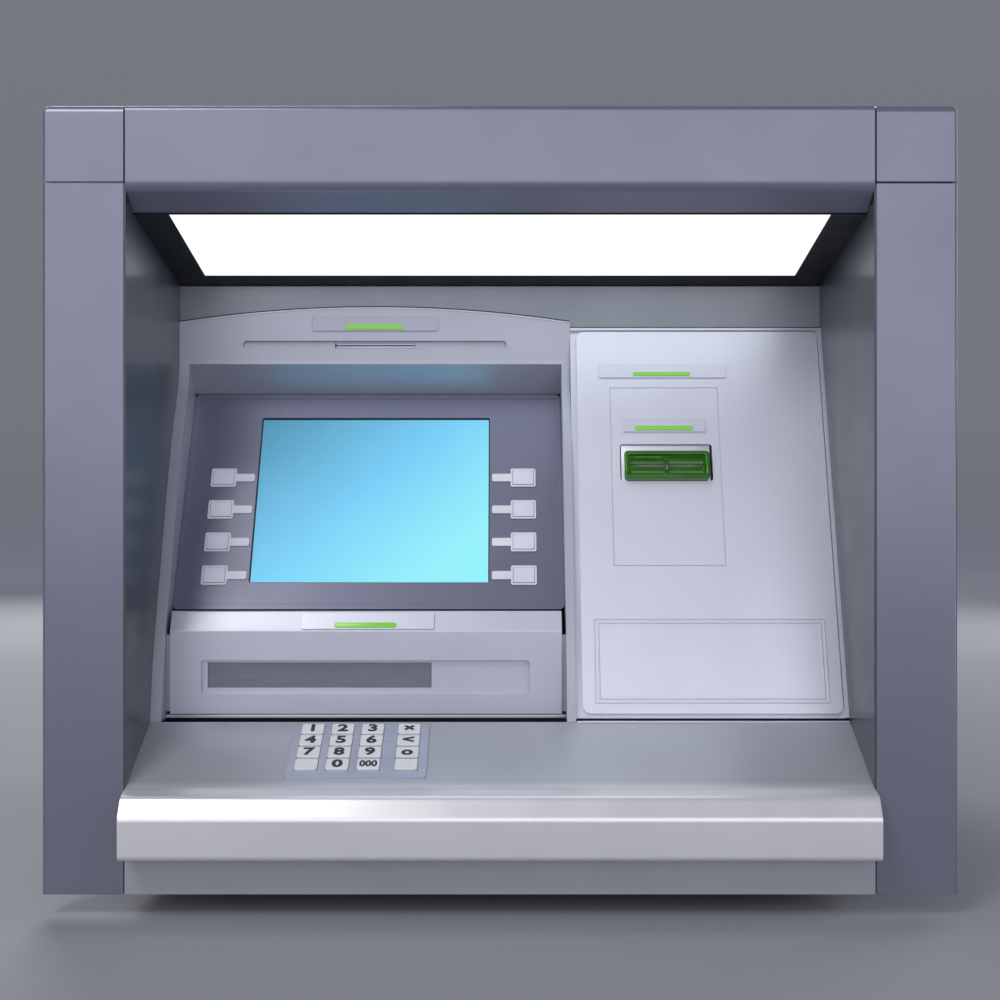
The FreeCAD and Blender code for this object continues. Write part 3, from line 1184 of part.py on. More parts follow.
def vault_door():
    """The vault door: a thick plate, a plug that enters the lip, bolt guides and its hinge halves."""
    edge = CABINET_HALF - VAULT_DOOR_INSET
    back = DOOR_FACE + VAULT_DOOR_THICK
    _, _, _, floor, roof = vault_inside()
    door = box(-edge, edge, DOOR_FACE, back, BASE + VAULT_DOOR_LOW_INSET,
               VAULT_TOP - VAULT_DOOR_LOW_INSET)
    plug = plug_half()
    z0 = floor + VAULT_LIP_LOW + VAULT_PLUG_GAP
    z1 = roof - VAULT_LIP_LOW - VAULT_PLUG_GAP
    door = door.fuse(box(-plug, plug, DOOR_FACE - VAULT_PLUG_DEPTH, DOOR_FACE, z0, z1))
    y = bolt_axis_y()
    first = -plug + BOLT_GUIDE_SETBACK
    wall = BOLT_RADIUS + BOLT_GUIDE_WALL
    for z in bolt_heights():
        guide = box(first, first + BOLT_GUIDE, y - BOLT_RADIUS - BOLT_GUIDE_FRONT,
                    DOOR_FACE - VAULT_PLUG_DEPTH, z - wall, z + wall)
        door = door.fuse(guide)
    door = door.fuse([half for _, half in vault_hinges()])
    cuts = []
    for z in bolt_heights():
        cuts.append(cylinder(BOLT_RADIUS + RUNNING_FIT, (-plug, y, z), (1, 0, 0), 2 * BOLT_GUIDE))
    x, z = handle_centre()
    cuts.append(cylinder(HANDLE_SHAFT + RUNNING_FIT, (x, DOOR_FACE - VAULT_PLUG_DEPTH - 1, z), (0, 1, 0),
                         VAULT_DOOR_THICK + VAULT_PLUG_DEPTH + 2))
    return [door.cut(cuts).removeSplitter()]


def vault_bolts():
    """Three round bolts on one bar, drawn back so that the door is free."""
    start = -plug_half() + BOLT_SETBACK
    guide_end = BOLT_GUIDE_SETBACK - BOLT_SETBACK + BOLT_GUIDE
    length = guide_end + BOLT_THROW + BOLT_REST_GAP + BOLT_BAR
    y = bolt_axis_y()
    heights = bolt_heights()
    bar_x = start + length
    bolts = box(bar_x - BOLT_BAR, bar_x, y - BOLT_BAR / 2, y + BOLT_BAR / 2, heights[0], heights[-1])
    for z in heights:
        bolts = bolts.fuse(cylinder(BOLT_RADIUS, (start, y, z), (1, 0, 0), length))
    return [bolts.removeSplitter()]


def vault_handle():
    """The handle that throws the bolts: shaft, hub and a lever with a round end."""
    x, z = handle_centre()
    back = DOOR_FACE + VAULT_DOOR_THICK
    lever_y = HANDLE_END - HANDLE_KNOB
    inner = DOOR_FACE - VAULT_PLUG_DEPTH
    handle = cylinder(HANDLE_SHAFT, (x, inner, z), (0, 1, 0), lever_y + HANDLE_SHAFT - inner)
    handle = handle.fuse(cylinder(HANDLE_HUB, (x, back + MOVING_GAP, z), (0, 1, 0), HANDLE_HUB_DEPTH))
    handle = handle.fuse(cylinder(HANDLE_SHAFT, (x, lever_y, z), (1, 0, 0), HANDLE_ARM))
    handle = handle.fuse(Part.makeSphere(HANDLE_KNOB, Vector(x + HANDLE_ARM, lever_y, z)))
    return [handle.removeSplitter()]


def dispenser_edges():
    """The dispenser's left and right sides, centred on the cash mouth."""
    left, right, _, _ = cash_mouth()
    return left - DISPENSER_MARGIN, right + DISPENSER_MARGIN


def cassette_room():
    """The height of each of the two cassette bays under the presenter."""
    _, _, _, floor, _ = vault_inside()
    return (nozzle_edges(NOZZLE_WALL)[2] - PRESENTER_BELOW - floor) / 2


def dispenser():
    """The note dispenser: presenter with its nozzle, two side frames and two cassette shelves."""
    x0, x1 = dispenser_edges()
    _, front, rear, floor, _ = vault_inside()
    a0, a1, b0, b1 = nozzle_edges(NOZZLE_WALL)
    y_end = rear - DISPENSER_REAR_GAP
    low = b0 - PRESENTER_BELOW
    body = box(x0, x1, front + DISPENSER_FRONT_GAP, y_end, low, b1 + PRESENTER_ABOVE)
    nozzle_start = guide_back_y() + NOZZLE_GAP
    body = body.fuse(box(a0, a1, nozzle_start, front + DISPENSER_FRONT_GAP + PAST, b0, b1))
    t0, t1, c0, c1 = nozzle_edges(0)
    body = body.cut(box(t0, t1, nozzle_start - PAST, front + THROAT_DEPTH, c0, c1))
    room = cassette_room()
    for x in (x0, x1 - FRAME_THICK):
        body = body.fuse(box(x, x + FRAME_THICK, front + FRAME_SETBACK, y_end, floor, low))
    for index in range(2):
        level = floor + index * room
        body = body.fuse(box(x0, x1, front + FRAME_SETBACK, y_end, level, level + CASSETTE_SHELF))
    return [body.removeSplitter()]


def cash_cassettes():
    """Two lockable note boxes with a carrying lip at the back."""
    x0, x1 = dispenser_edges()
    _, front, rear, floor, _ = vault_inside()
    room = cassette_room()
    solids = []
    for index in range(2):
        low = floor + index * room + CASSETTE_SHELF
        high = floor + (index + 1) * room - CASSETTE_TOP_GAP
        back = rear - CASSETTE_REAR_GAP
        case = box(x0 + CASSETTE_SIDE_GAP, x1 - CASSETTE_SIDE_GAP, front + FRAME_SETBACK + CASSETTE_FRONT_GAP,
                   back, low, high)
        lip = box(x0 + CASSETTE_LIP_INSET, x1 - CASSETTE_LIP_INSET, back, back + CASSETTE_LIP,
                  high - 1.5 * CASSETTE_LIP, high - 0.75 * CASSETTE_LIP)
        solids.append(case.fuse(lip))
    return solids


def levelling_feet():
    """Four screw feet under the vault's corners."""
    solids = []
    x = CABINET_HALF - FOOT_INSET
    for sx in (-1, 1):
        for y in (CABINET_FRONT + FOOT_INSET, CABINET_REAR - FOOT_INSET):
            foot = cylinder(FOOT_RADIUS, (sx * x, y, 0), (0, 0, 1), 0.4 * FOOT_HEIGHT)
            foot = foot.fuse(cylinder(8.0, (sx * x, y, 0), (0, 0, 1), FOOT_HEIGHT))
            foot = foot.fuse(cylinder(13.0, (sx * x, y, 0.7 * FOOT_HEIGHT), (0, 0, 1), 0.3 * FOOT_HEIGHT))
            solids.append(foot.removeSplitter())
    return solids


# ---------------------------------------------------------------- writing
def all_parts():
    """Every node's name with its solids, in the working frame."""
    makers = (
        surround_columns, header_cover, sill_strip, side_cheeks, light_frame, light_diffuser, light_tray, shelf,
        keypad_module, fascia_back, screen_surround, display_bezel, display_glass, lcd_monitor, key_frames,
        cash_panel, cash_shutter, card_panel, card_tray, card_bezel, card_reader, indicator_plates,
        indicator_lenses, receipt_printer, receipt_roll, cabinet_shell, rear_door, rear_door_latch, pc_unit,
        vault_body, vault_door, vault_bolts, vault_handle, dispenser, cash_cassettes, levelling_feet,
    )
    parts = {maker.__name__: maker() for maker in makers}
    for name, x, up in keypad_positions():
        parts["key_" + name] = keypad_key(x, up)
    for name, x, up, _ in function_keys():
        parts[name] = function_key(x, up)
    return parts


def write(parts):
    """Shift each node onto the footprint's middle and write it."""
    os.makedirs("parts", exist_ok=True)
    for name, solids in parts.items():
        shape = solids[0] if len(solids) == 1 else Part.makeCompound(solids)
        shape = shape.copy()
        shape.translate(Vector(0, -ORIGIN_Y, 0))
        found = shape.Solids
        if not shape.isValid() or any(solid.Volume <= 0 for solid in found):
            raise ValueError(f"{name} is not a sound solid")
        shape.exportStep(f"parts/{name}.step")
        print(f"{name}: {len(found)} solids")


write(all_parts())
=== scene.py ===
"""Through-the-wall cash machine: the finishes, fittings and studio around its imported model.

Everything is in metres, in the model's frame: X to the customer's right, Y into the wall, Z up.
"""
import json
import logging
import math
from dataclasses import dataclass, field
from enum import Enum
from functools import cache
from typing import Iterable

import bmesh
import bpy
from mathutils import Matrix, Vector


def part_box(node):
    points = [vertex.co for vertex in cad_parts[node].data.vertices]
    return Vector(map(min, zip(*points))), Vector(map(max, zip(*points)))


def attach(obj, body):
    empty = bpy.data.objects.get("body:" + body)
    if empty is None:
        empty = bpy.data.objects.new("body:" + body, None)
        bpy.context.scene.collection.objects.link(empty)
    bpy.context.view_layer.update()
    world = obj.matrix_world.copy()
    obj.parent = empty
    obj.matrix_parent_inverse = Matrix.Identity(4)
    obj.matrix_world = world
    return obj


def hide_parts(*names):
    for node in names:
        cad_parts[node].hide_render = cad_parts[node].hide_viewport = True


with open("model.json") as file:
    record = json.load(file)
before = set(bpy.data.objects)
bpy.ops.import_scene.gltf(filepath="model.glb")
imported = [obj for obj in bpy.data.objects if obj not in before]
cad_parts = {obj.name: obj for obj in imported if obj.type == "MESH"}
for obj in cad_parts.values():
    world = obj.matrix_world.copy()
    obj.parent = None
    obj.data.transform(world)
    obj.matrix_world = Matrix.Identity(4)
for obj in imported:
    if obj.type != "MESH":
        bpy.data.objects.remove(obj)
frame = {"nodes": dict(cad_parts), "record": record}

LOG = logging.getLogger("cash_machine")
Colour = tuple[float, float, float]
MM = 0.001
TOUCH = 0.02 * MM
WELD = 0.005 * MM
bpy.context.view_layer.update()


def tone(red: int, green: int, blue: int) -> Colour:
    """The linear colour of three display levels from 0 to 255."""
    levels = (red / 255, green / 255, blue / 255)
    return tuple(v / 12.92 if v <= 0.04045 else ((v + 0.055) / 1.055) ** 2.4 for v in levels)


class Slope(Enum):
    """How steeply a face of the machine rises away from the customer, in degrees."""

    SHELF = 27.4
    DISPLAY = 64.0
    CARD = 72.9
    UPRIGHT = 90.0

    @property
    def up(self) -> Vector:
        """The direction that climbs the face."""
        angle = math.radians(self.value)
        return Vector((0, math.cos(angle), math.sin(angle)))

    @property
    def out(self) -> Vector:
        """The direction that leaves the face."""
        angle = math.radians(self.value)
        return Vector((0, -math.sin(angle), math.cos(angle)))


# ---------------------------------------------------------------- finishes
class Recipe:
    """The nodes of one finish, from the piece's own coordinates to its surface shader."""

    def __init__(self, name: str) -> None:
        """Starts a material with a surface shader and nothing linked to it.

        Args:
            name: The material's name.
        """
        self.material = bpy.data.materials.new(name)
        self.material.use_nodes = True
        self.tree = self.material.node_tree
        self.tree.nodes.clear()
        self.shader = self.add("ShaderNodeBsdfPrincipled")
        output = self.add("ShaderNodeOutputMaterial")
        self.tree.links.new(self.shader.outputs["BSDF"], output.inputs["Surface"])
        self.place = self.add("ShaderNodeTexCoord").outputs["Object"]

    def add(self, kind: str) -> bpy.types.Node:
        """Adds one node of a kind."""
        return self.tree.nodes.new(kind)

    def wire(self, node: bpy.types.Node, **inputs: object) -> bpy.types.Node:
        """Sets or links a node's inputs.

        Args:
            node: The node whose inputs change.
            **inputs: A value or an output socket for each input, with spaces as underscores.

        Returns:
            The same node.
        """
        for key, value in inputs.items():
            socket = node.inputs[key.replace("_", " ")]
            if isinstance(value, bpy.types.NodeSocket):
                self.tree.links.new(value, socket)
            else:
                socket.default_value = value
        return node

    def surface(self, **inputs: object) -> None:
        """Sets or links the surface shader's inputs."""
        self.wire(self.shader, **inputs)

    def stretched(self, x: float, y: float, z: float) -> bpy.types.NodeSocket:
        """The piece's coordinates, scaled along each axis, so that a pattern runs one way."""
        mapping = self.wire(self.add("ShaderNodeMapping"), Vector=self.place, Scale=(x, y, z))
        return mapping.outputs["Vector"]

    def noise(self, size: float, detail: float = 2.0, where: bpy.types.NodeSocket | None = None
              ) -> bpy.types.NodeSocket:
        """Soft noise.

        Args:
            size: About how wide one blotch is, in metres.
            detail: How many finer layers it has.
            where: The coordinates that it reads, the piece's own if left out.

        Returns:
            The noise, around a half.
        """
        node = self.wire(self.add("ShaderNodeTexNoise"), Vector=where or self.place, Scale=1 / size,
                         Detail=detail)
        return node.outputs["Fac"]

    def flakes(self, size: float) -> bpy.types.NodeSocket:
        """A random shade for each small cell, as metal flakes in a paint have.

        Args:
            size: How wide one flake is, in metres.

        Returns:
            The shade, from 0 to 1.
        """
        node = self.wire(self.add("ShaderNodeTexVoronoi"), Vector=self.place, Scale=1 / size)
        grey = self.wire(self.add("ShaderNodeSeparateColor"), Color=node.outputs["Color"])
        return grey.outputs["Red"]

    def span(self, value: bpy.types.NodeSocket, low: float, high: float, start: float = 0.3, end: float = 0.7
             ) -> bpy.types.NodeSocket:
        """Carries a value from the range that it has to the range that is wanted.

        Args:
            value: The value.
            low: Where the wanted range starts.
            high: Where the wanted range ends.
            start: Where the value's own range starts.
            end: Where the value's own range ends.

        Returns:
            The value in the wanted range.
        """
        node = self.add("ShaderNodeMapRange")
        node.inputs["From Min"].default_value = start
        node.inputs["From Max"].default_value = end
        self.wire(node, Value=value, To_Min=low, To_Max=high)
        return node.outputs["Result"]

    def ramp(self, value: bpy.types.NodeSocket, *stops: tuple[float, Colour]) -> bpy.types.NodeSocket:
        """A colour for each value, from two or more stops of a place and a colour.

        Args:
            value: Where the ramp is read.
            *stops: A place from 0 to 1 and a colour for each stop.

        Returns:
            The colour.
        """
        node = self.wire(self.add("ShaderNodeValToRGB"), Fac=value)
        elements = node.color_ramp.elements
        while len(elements) < len(stops):
            elements.new(1.0)
        for element, (place, colour) in zip(elements, stops):
            element.position = place
            element.color = (*colour, 1.0)
        return node.outputs["Color"]

    def shaded(self, colour: Colour, value: bpy.types.NodeSocket, spread: float) -> bpy.types.NodeSocket:
        """One colour, darker and lighter by a share as a value goes from 0.3 to 0.7.

        Args:
            colour: The middle colour.
            value: Noise around a half.
            spread: The share by which the colour gets darker and lighter.

        Returns:
            The colour.
        """
        darker = tuple(c * (1 - spread) for c in colour)
        lighter = tuple(min(1.0, c * (1 + spread)) for c in colour)
        return self.ramp(value, (0.3, darker), (0.7, lighter))

    def along(self, axis: str) -> bpy.types.NodeSocket:
        """One of the piece's own coordinates, in metres."""
        return self.wire(self.add("ShaderNodeSeparateXYZ"), Vector=self.place).outputs[axis]

    def sum(self, first: bpy.types.NodeSocket, second: bpy.types.NodeSocket, share: float
            ) -> bpy.types.NodeSocket:
        """The first value and a share of the second.

        Args:
            first: The first value.
            second: The second value.
            share: How much of the second is added.

        Returns:
            The sum.
        """
        node = self.add("ShaderNodeMath")
        node.operation = "MULTIPLY_ADD"
        self.tree.links.new(second, node.inputs[0])
        node.inputs[1].default_value = share
        self.tree.links.new(first, node.inputs[2])
        return node.outputs[0]

    def relief(self, height: bpy.types.NodeSocket, depth: float, edge: float = 0.0) -> None:
        """Gives the surface small relief, and edges that catch the light.

        Args:
            height: The relief, from 0 to 1.
            depth: How deep it is, in metres.
            edge: The radius that sharp edges are shaded with, in metres.
        """
        bump = self.wire(self.add("ShaderNodeBump"), Height=height, Distance=depth, Strength=1.0)
        if edge:
            bevel = self.add("ShaderNodeBevel")
            bevel.samples = 4
            self.wire(bevel, Radius=edge)
            self.wire(bump, Normal=bevel.outputs["Normal"])
        self.surface(Normal=bump.outputs["Normal"])


@dataclass(frozen=True)
class Finish:
    """What every finish has: the name of its material and its colour."""

    name: str
    colour: Colour

    def cook(self) -> Recipe:
        """Mixes the finish's nodes."""
        raise NotImplementedError


@dataclass(frozen=True)
class FlakePaint(Finish):
    """Satin metallic lacquer: fine flakes, faint clouding, a thin clear coat and handling wear."""

    metal: float = 0.45
    gloss: float = 0.34
    clouding: float = 0.03
    edge: float = 0.0008

    def cook(self) -> Recipe:
        """Mixes clouding, flakes and orange peel.

        Returns:
            The finish's recipe.
        """
        mix = Recipe(self.name)
        shade = mix.sum(mix.noise(0.16, 3.0), mix.flakes(0.0006), 0.10)
        scuffs = mix.noise(0.05, 4.0)
        mix.surface(Base_Color=mix.shaded(self.colour, shade, self.clouding), Metallic=self.metal,
                    Coat_Weight=0.25, Coat_Roughness=0.16,
                    Roughness=mix.span(scuffs, self.gloss - 0.02, self.gloss + 0.04))
        mix.relief(mix.noise(0.0016, 1.0), 0.00002, self.edge)
        return mix


@dataclass(frozen=True)
class NoseHighlightLacquer(FlakePaint):
    """The shelf's lacquer, with a painted highlight that makes it brighter towards the nose, where more light
    falls.
    """

    nose_highlight: Colour = tone(255, 253, 255)
    reach: tuple[float, float] = (-0.372, -0.358)

    def cook(self) -> Recipe:
        """Mixes the lacquer and carries its colour to a brighter one over the nose, as a painted highlight.

        Returns:
            The finish's recipe.
        """
        mix = super().cook()
        # Painted highlight: the colour turns brighter towards the nose, standing in for the light that falls
        # there.
        depth = mix.span(mix.along("Y"), 1.0, 0.0, *self.reach)
        blend = mix.sum(depth, mix.noise(0.02, 3.0), 0.08)
        mix.surface(Base_Color=mix.ramp(blend, (0.05, self.colour), (1.0, self.nose_highlight)))
        return mix


@dataclass(frozen=True)
class PlateLacquer(FlakePaint):
    """The indicator plates' lacquer, with painted shade that makes the plate above the receipt slot greyer.
    """

    upper: Colour = tone(174, 176, 190)
    above: tuple[float, float] = (0.520, 0.528)
    beside: tuple[float, float] = (0.02, 0.06)

    def cook(self) -> Recipe:
        """Mixes the lacquer and paints shade on it: greyer high up on the display's side.

        Returns:
            The finish's recipe.
        """
        mix = super().cook()
        # Painted shade: the upper plate on the display's side turns greyer, standing in for the shade that
        # falls on it.
        high = mix.span(mix.along("Z"), 0.0, 1.0, *self.above)
        card_side = mix.span(mix.along("X"), 0.0, 1.0, *self.beside)
        blend = mix.sum(high, card_side, -1.0)
        mix.surface(Base_Color=mix.ramp(blend, (0.0, self.colour), (1.0, self.upper)))
        return mix


@dataclass(frozen=True)
class MouldedPlastic(Finish):
    """Moulded plastic with a fine sparked grain."""

    gloss: float = 0.45
    grain: float = 0.00004
    edge: float = 0.0005

    def cook(self) -> Recipe:
        """Mixes a grain, faint flow clouding and finger shine.

        Returns:
            The finish's recipe.
        """
        mix = Recipe(self.name)
        grain = mix.sum(mix.noise(0.0007, 2.0), mix.flakes(0.0012), 0.35)
        shine = mix.noise(0.03, 3.0)
        mix.surface(Base_Color=mix.shaded(self.colour, mix.noise(0.07, 4.0), 0.07),
                    Roughness=mix.span(shine, self.gloss - 0.05, self.gloss + 0.08))
        mix.relief(grain, self.grain, self.edge)
        return mix


@dataclass(frozen=True)
class BrushedMetal(Finish):
    """Brushed steel or aluminium, with its scratches along one axis."""

    grain: tuple[float, float, float] = (0.02, 1.0, 1.0)
    gloss: float = 0.3
    metal: float = 0.85
    edge: float = 0.0005

    def cook(self) -> Recipe:
        """Mixes long scratches into the shade, the gloss and the relief.

        Returns:
            The finish's recipe.
        """
        mix = Recipe(self.name)
        scratches = mix.noise(0.0006, 3.0, mix.stretched(*self.grain))
        clouds = mix.noise(0.05, 2.0)
        mix.surface(Base_Color=mix.shaded(self.colour, mix.sum(scratches, clouds, 0.2), 0.12),
                    Metallic=self.metal, Anisotropic=0.4,
                    Roughness=mix.span(scratches, self.gloss - 0.06, self.gloss + 0.10))
        mix.relief(scratches, 0.00002, self.edge)
        return mix


@dataclass(frozen=True)
class PowderCoat(Finish):
    """Textured powder coat on sheet metal or plate."""

    texture: float = 0.0011
    gloss: float = 0.55

    def cook(self) -> Recipe:
        """Mixes the coat's pebbled skin and clouding.

        Returns:
            The finish's recipe.
        """
        mix = Recipe(self.name)
        pebbles = mix.sum(mix.noise(self.texture, 1.5), mix.noise(self.texture * 4, 2.0), 0.4)
        mix.surface(Base_Color=mix.shaded(self.colour, mix.sum(mix.noise(0.11, 4.0), pebbles, 0.25), 0.10),
                    Roughness=mix.span(pebbles, self.gloss - 0.08, self.gloss + 0.12))
        mix.relief(pebbles, 0.00011, 0.0007)
        return mix


@dataclass(frozen=True)
class PlatedMetal(Finish):
    """Plated or polished metal with smudges and fine pitting."""

    gloss: float = 0.16
    stain: Colour = (0.45, 0.42, 0.33)

    def cook(self) -> Recipe:
        """Mixes the plating's faint stain, smudges and pits.

        Returns:
            The finish's recipe.
        """
        mix = Recipe(self.name)
        smudges = mix.noise(0.009, 5.0)
        mix.surface(Base_Color=mix.ramp(smudges, (0.45, self.colour), (0.85, self.stain)), Metallic=1.0,
                    Roughness=mix.span(smudges, self.gloss, self.gloss + 0.14))
        mix.relief(mix.noise(0.0008, 3.0), 0.00002, 0.0004)
        return mix


@dataclass(frozen=True)
class StudioFloor(Finish):
    """Pale floor whose colour is painted lighter away from the lamps' pool of light, as painted light that
    evens out the pool.
    """

    far: Colour = tone(238, 240, 246)
    reach: float = 6.0

    def cook(self) -> Recipe:
        """Mixes the colour, painted lighter with distance from the machine, with a faint mottle.

        Returns:
            The finish's recipe.
        """
        mix = Recipe(self.name)
        rings = mix.add("ShaderNodeTexGradient")
        rings.gradient_type = "SPHERICAL"
        mix.wire(rings, Vector=mix.stretched(*(1 / self.reach,) * 3))
        shade = mix.sum(rings.outputs["Fac"], mix.noise(0.3, 3.0), 0.03)
        # Painted light: the colour gets lighter far from the machine, standing in for light that the lamps
        # don't bring there.
        mix.surface(Base_Color=mix.ramp(shade, (0.08, self.far), (0.70, self.colour)), Roughness=0.8)
        return mix


@dataclass(frozen=True)
class SoftRubber(Finish):
    """Matt rubber or foam with a dusty bloom."""

    cell: float = 0.0009

    def cook(self) -> Recipe:
        """Mixes pores and bloom.

        Returns:
            The finish's recipe.
        """
        mix = Recipe(self.name)
        pores = mix.noise(self.cell, 3.0)
        mix.surface(Base_Color=mix.shaded(self.colour, mix.noise(0.014, 4.0), 0.35), Sheen_Weight=0.15,
                    Roughness=mix.span(pores, 0.72, 0.92), Specular_IOR_Level=0.25)
        mix.relief(pores, 0.00008, 0.0006)
        return mix


@dataclass(frozen=True)
class LitPlastic(Finish):
    """Opal or tinted plastic with lamps behind it."""

    power: float = 1.0
    evenness: float = 0.05
    gloss: float = 0.3

    def cook(self) -> Recipe:
        """Mixes the soft patches that the lamps leave in the glow, and the prisms' fine relief.

        Returns:
            The finish's recipe.
        """
        mix = Recipe(self.name)
        glow = mix.shaded(self.colour, mix.noise(0.12, 2.0), self.evenness)
        mix.surface(Base_Color=glow, Emission_Color=glow, Emission_Strength=self.power, Roughness=self.gloss,
                    Coat_Weight=0.2)
        mix.relief(mix.flakes(0.0018), 0.00003)
        return mix


@dataclass(frozen=True)
class ScreenPicture(Finish):
    """The lit pane of the display: deep cyan at the top left, pale towards the bottom right."""

    deep: Colour = tone(72, 142, 174)
    pale: Colour = tone(150, 246, 255)
    power: float = 0.93

    def cook(self) -> Recipe:
        """Mixes the slanting sweep of colour, the dot rows and the pane's gloss.

        Returns:
            The finish's recipe.
        """
        mix = Recipe(self.name)
        low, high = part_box("display_glass")
        across = mix.span(mix.along("X"), 0.0, 1.0, low.x, high.x)
        down = mix.span(mix.along("Z"), 1.0, 0.0, low.z, high.z)
        sweep = mix.sum(mix.sum(across, down, 0.85), mix.noise(0.09, 2.0), 0.12)
        dots = mix.noise(0.0005, 0.0, mix.stretched(0.05, 1.0, 1.0))
        colour = mix.ramp(mix.sum(mix.span(sweep, 0.0, 1.0, 0.1, 1.6), dots, 0.02),
                          (0.0, self.deep), (0.55, self.colour), (1.0, self.pale))
        mix.surface(Base_Color=(0.01, 0.02, 0.03, 1.0), Emission_Color=colour, Emission_Strength=self.power,
                    Roughness=mix.span(mix.noise(0.05, 4.0), 0.32, 0.40), Specular_IOR_Level=0.3)
        return mix


@dataclass(frozen=True)
class TintedAcrylic(Finish):
    """Deep-coloured acrylic with polished faces that lets a little light through."""

    through: float = 0.05

    def cook(self) -> Recipe:
        """Mixes depth of tint and flow lines, with a faint painted glow in the tint's own colour.

        Returns:
            The finish's recipe.
        """
        mix = Recipe(self.name)
        flow = mix.noise(0.006, 3.0, mix.stretched(0.3, 1.0, 1.0))
        tint = mix.shaded(self.colour, flow, 0.22)
        # Painted light: the acrylic glows faintly in its own tint though no lamp sits behind it.
        mix.surface(Base_Color=tint, Emission_Color=tint, Emission_Strength=0.12,
                    Transmission_Weight=self.through, IOR=1.49, Coat_Weight=0.35, Coat_Roughness=0.04,
                    Roughness=mix.span(mix.noise(0.004, 3.0), 0.05, 0.12))
        return mix


@dataclass(frozen=True)
class Matt(Finish):
    """A plain matt layer: printed ink, paper or a shadowed lining."""

    fibre: float = 0.0012
    spread: float = 0.08

    def cook(self) -> Recipe:
        """Mixes fibres and a faint mottle.

        Returns:
            The finish's recipe.
        """
        mix = Recipe(self.name)
        fibres = mix.noise(self.fibre, 4.0, mix.stretched(1.0, 0.4, 0.4))
        mix.surface(Base_Color=mix.shaded(self.colour, fibres, self.spread), Roughness=0.8)
        mix.relief(fibres, 0.00003)
        return mix


SILVER = tone(216, 217, 230)
# Painted shade: a darker copy of the fascia's silver, for the display surround that sits in the header's
# shade.
SHADED_SILVER = tone(186, 187, 198)
FINISHES: dict[str, Finish] = {
    "surround_paint": FlakePaint("surround_lacquer", tone(138, 139, 156), metal=0.5, gloss=0.30),
    "cheek_paint": FlakePaint("cheek_lacquer", tone(84, 87, 95), metal=0.3, gloss=0.42),
    "dark_trim": MouldedPlastic("dark_trim", tone(30, 31, 34), gloss=0.4),
    "diffuser": LitPlastic("opal_diffuser", tone(247, 254, 255), power=1.0, evenness=0.02),
    "white_tray": PowderCoat("tray_white", tone(225, 226, 224)),
    "fascia_silver": FlakePaint("fascia_lacquer", SILVER, metal=0.40, gloss=0.36),
    "card_silver": FlakePaint("card_lacquer", tone(230, 231, 243), metal=0.40, gloss=0.34),
    "keypad_plate": BrushedMetal("keypad_steel", tone(196, 199, 216), metal=0.6, gloss=0.34),
    "keypad_key": BrushedMetal("key_steel", tone(250, 252, 255), grain=(1.0, 0.05, 0.05), metal=0.2,
                               gloss=0.34),
    "display_panel": FlakePaint("display_lacquer", tone(120, 120, 142), metal=0.45, gloss=0.36),
    "screen_glass": ScreenPicture("screen_pane", tone(118, 207, 250)),
    "black_case": MouldedPlastic("black_case", tone(44, 45, 47), gloss=0.5, grain=0.00009),
    "key_frame_white": MouldedPlastic("key_frame_white", tone(240, 240, 250), gloss=0.34),
    "function_key": MouldedPlastic("function_key_grey", tone(236, 238, 255), gloss=0.36),
    "shutter_steel": BrushedMetal("shutter_steel", tone(140, 142, 152), metal=0.6, gloss=0.36),
    # The green acrylic carries a faint painted glow.
    "green_bezel": TintedAcrylic("green_acrylic", tone(46, 108, 8)),
    "green_lens": LitPlastic("green_lens", tone(112, 178, 62), power=0.62, gloss=0.2),
    # The plates' lacquer carries painted shade that turns the upper plate on the display's side greyer.
    "indicator_plate": PlateLacquer("plate_lacquer_painted_shade", tone(226, 227, 240), metal=0.40, gloss=0.33),
    "paper": Matt("receipt_paper", tone(238, 238, 233)),
    "cabinet_paint": PowderCoat("cabinet_powder", tone(168, 171, 174)),
    "latch_zinc": PlatedMetal("zinc_plate", tone(198, 198, 196), gloss=0.24),
    "pc_case": PowderCoat("computer_powder", tone(62, 64, 68), texture=0.0008),
    "vault_paint": PowderCoat("vault_enamel", tone(120, 124, 130), texture=0.0018, gloss=0.46),
    "bolt_steel": BrushedMetal("bolt_steel", tone(198, 198, 200), gloss=0.22, metal=1.0),
    "handle_chrome": PlatedMetal("handle_chrome", tone(226, 226, 228), gloss=0.07, stain=tone(190, 190, 192)),
    "dispenser_case": PowderCoat("dispenser_powder", tone(96, 99, 106), texture=0.0009),
    "cassette_plastic": MouldedPlastic("cassette_blue", tone(66, 84, 120), gloss=0.42, grain=0.0001),
    "foot_rubber": SoftRubber("foot_rubber", tone(40, 40, 41)),
}
# The throat's clear green carries the same faint painted glow.
CLEAR_GREEN = TintedAcrylic("clear_green", tone(44, 98, 8))
# Painted shade: a grey ring round each function key stands in for the shadow in the groove between key and
# frame.
GROOVE_SHADE = Matt("key_groove_painted_shade", tone(92, 94, 116))
INK = Matt("legend_ink", tone(62, 64, 78), spread=0.15)
OWN_FINISHES: dict[str, Finish] = {
    # The display surround's lacquer is the fascia's silver darkened as painted shade.
    "screen_surround": FlakePaint("display_surround_painted_shade_lacquer", SHADED_SILVER, metal=0.42, gloss=0.42),
    "fascia_back": FlakePaint("fascia_back_lacquer", tone(138, 143, 150), metal=0.5, gloss=0.36),
    # The shelf's lacquer carries a painted highlight that brightens it towards the nose.
    "shelf": NoseHighlightLacquer("shelf_lacquer", tone(204, 206, 214), metal=0.55, gloss=0.30),
    # Painted light: the sill gets a lacquer much lighter than the surround's, standing in for the light that
    # the shelf's nose keeps from it.
    "sill_strip": FlakePaint("sill_painted_light_lacquer", tone(182, 184, 190), metal=0.3, gloss=0.4),
}
FOAM = SoftRubber("seal_foam", tone(34, 34, 36), cell=0.0016)


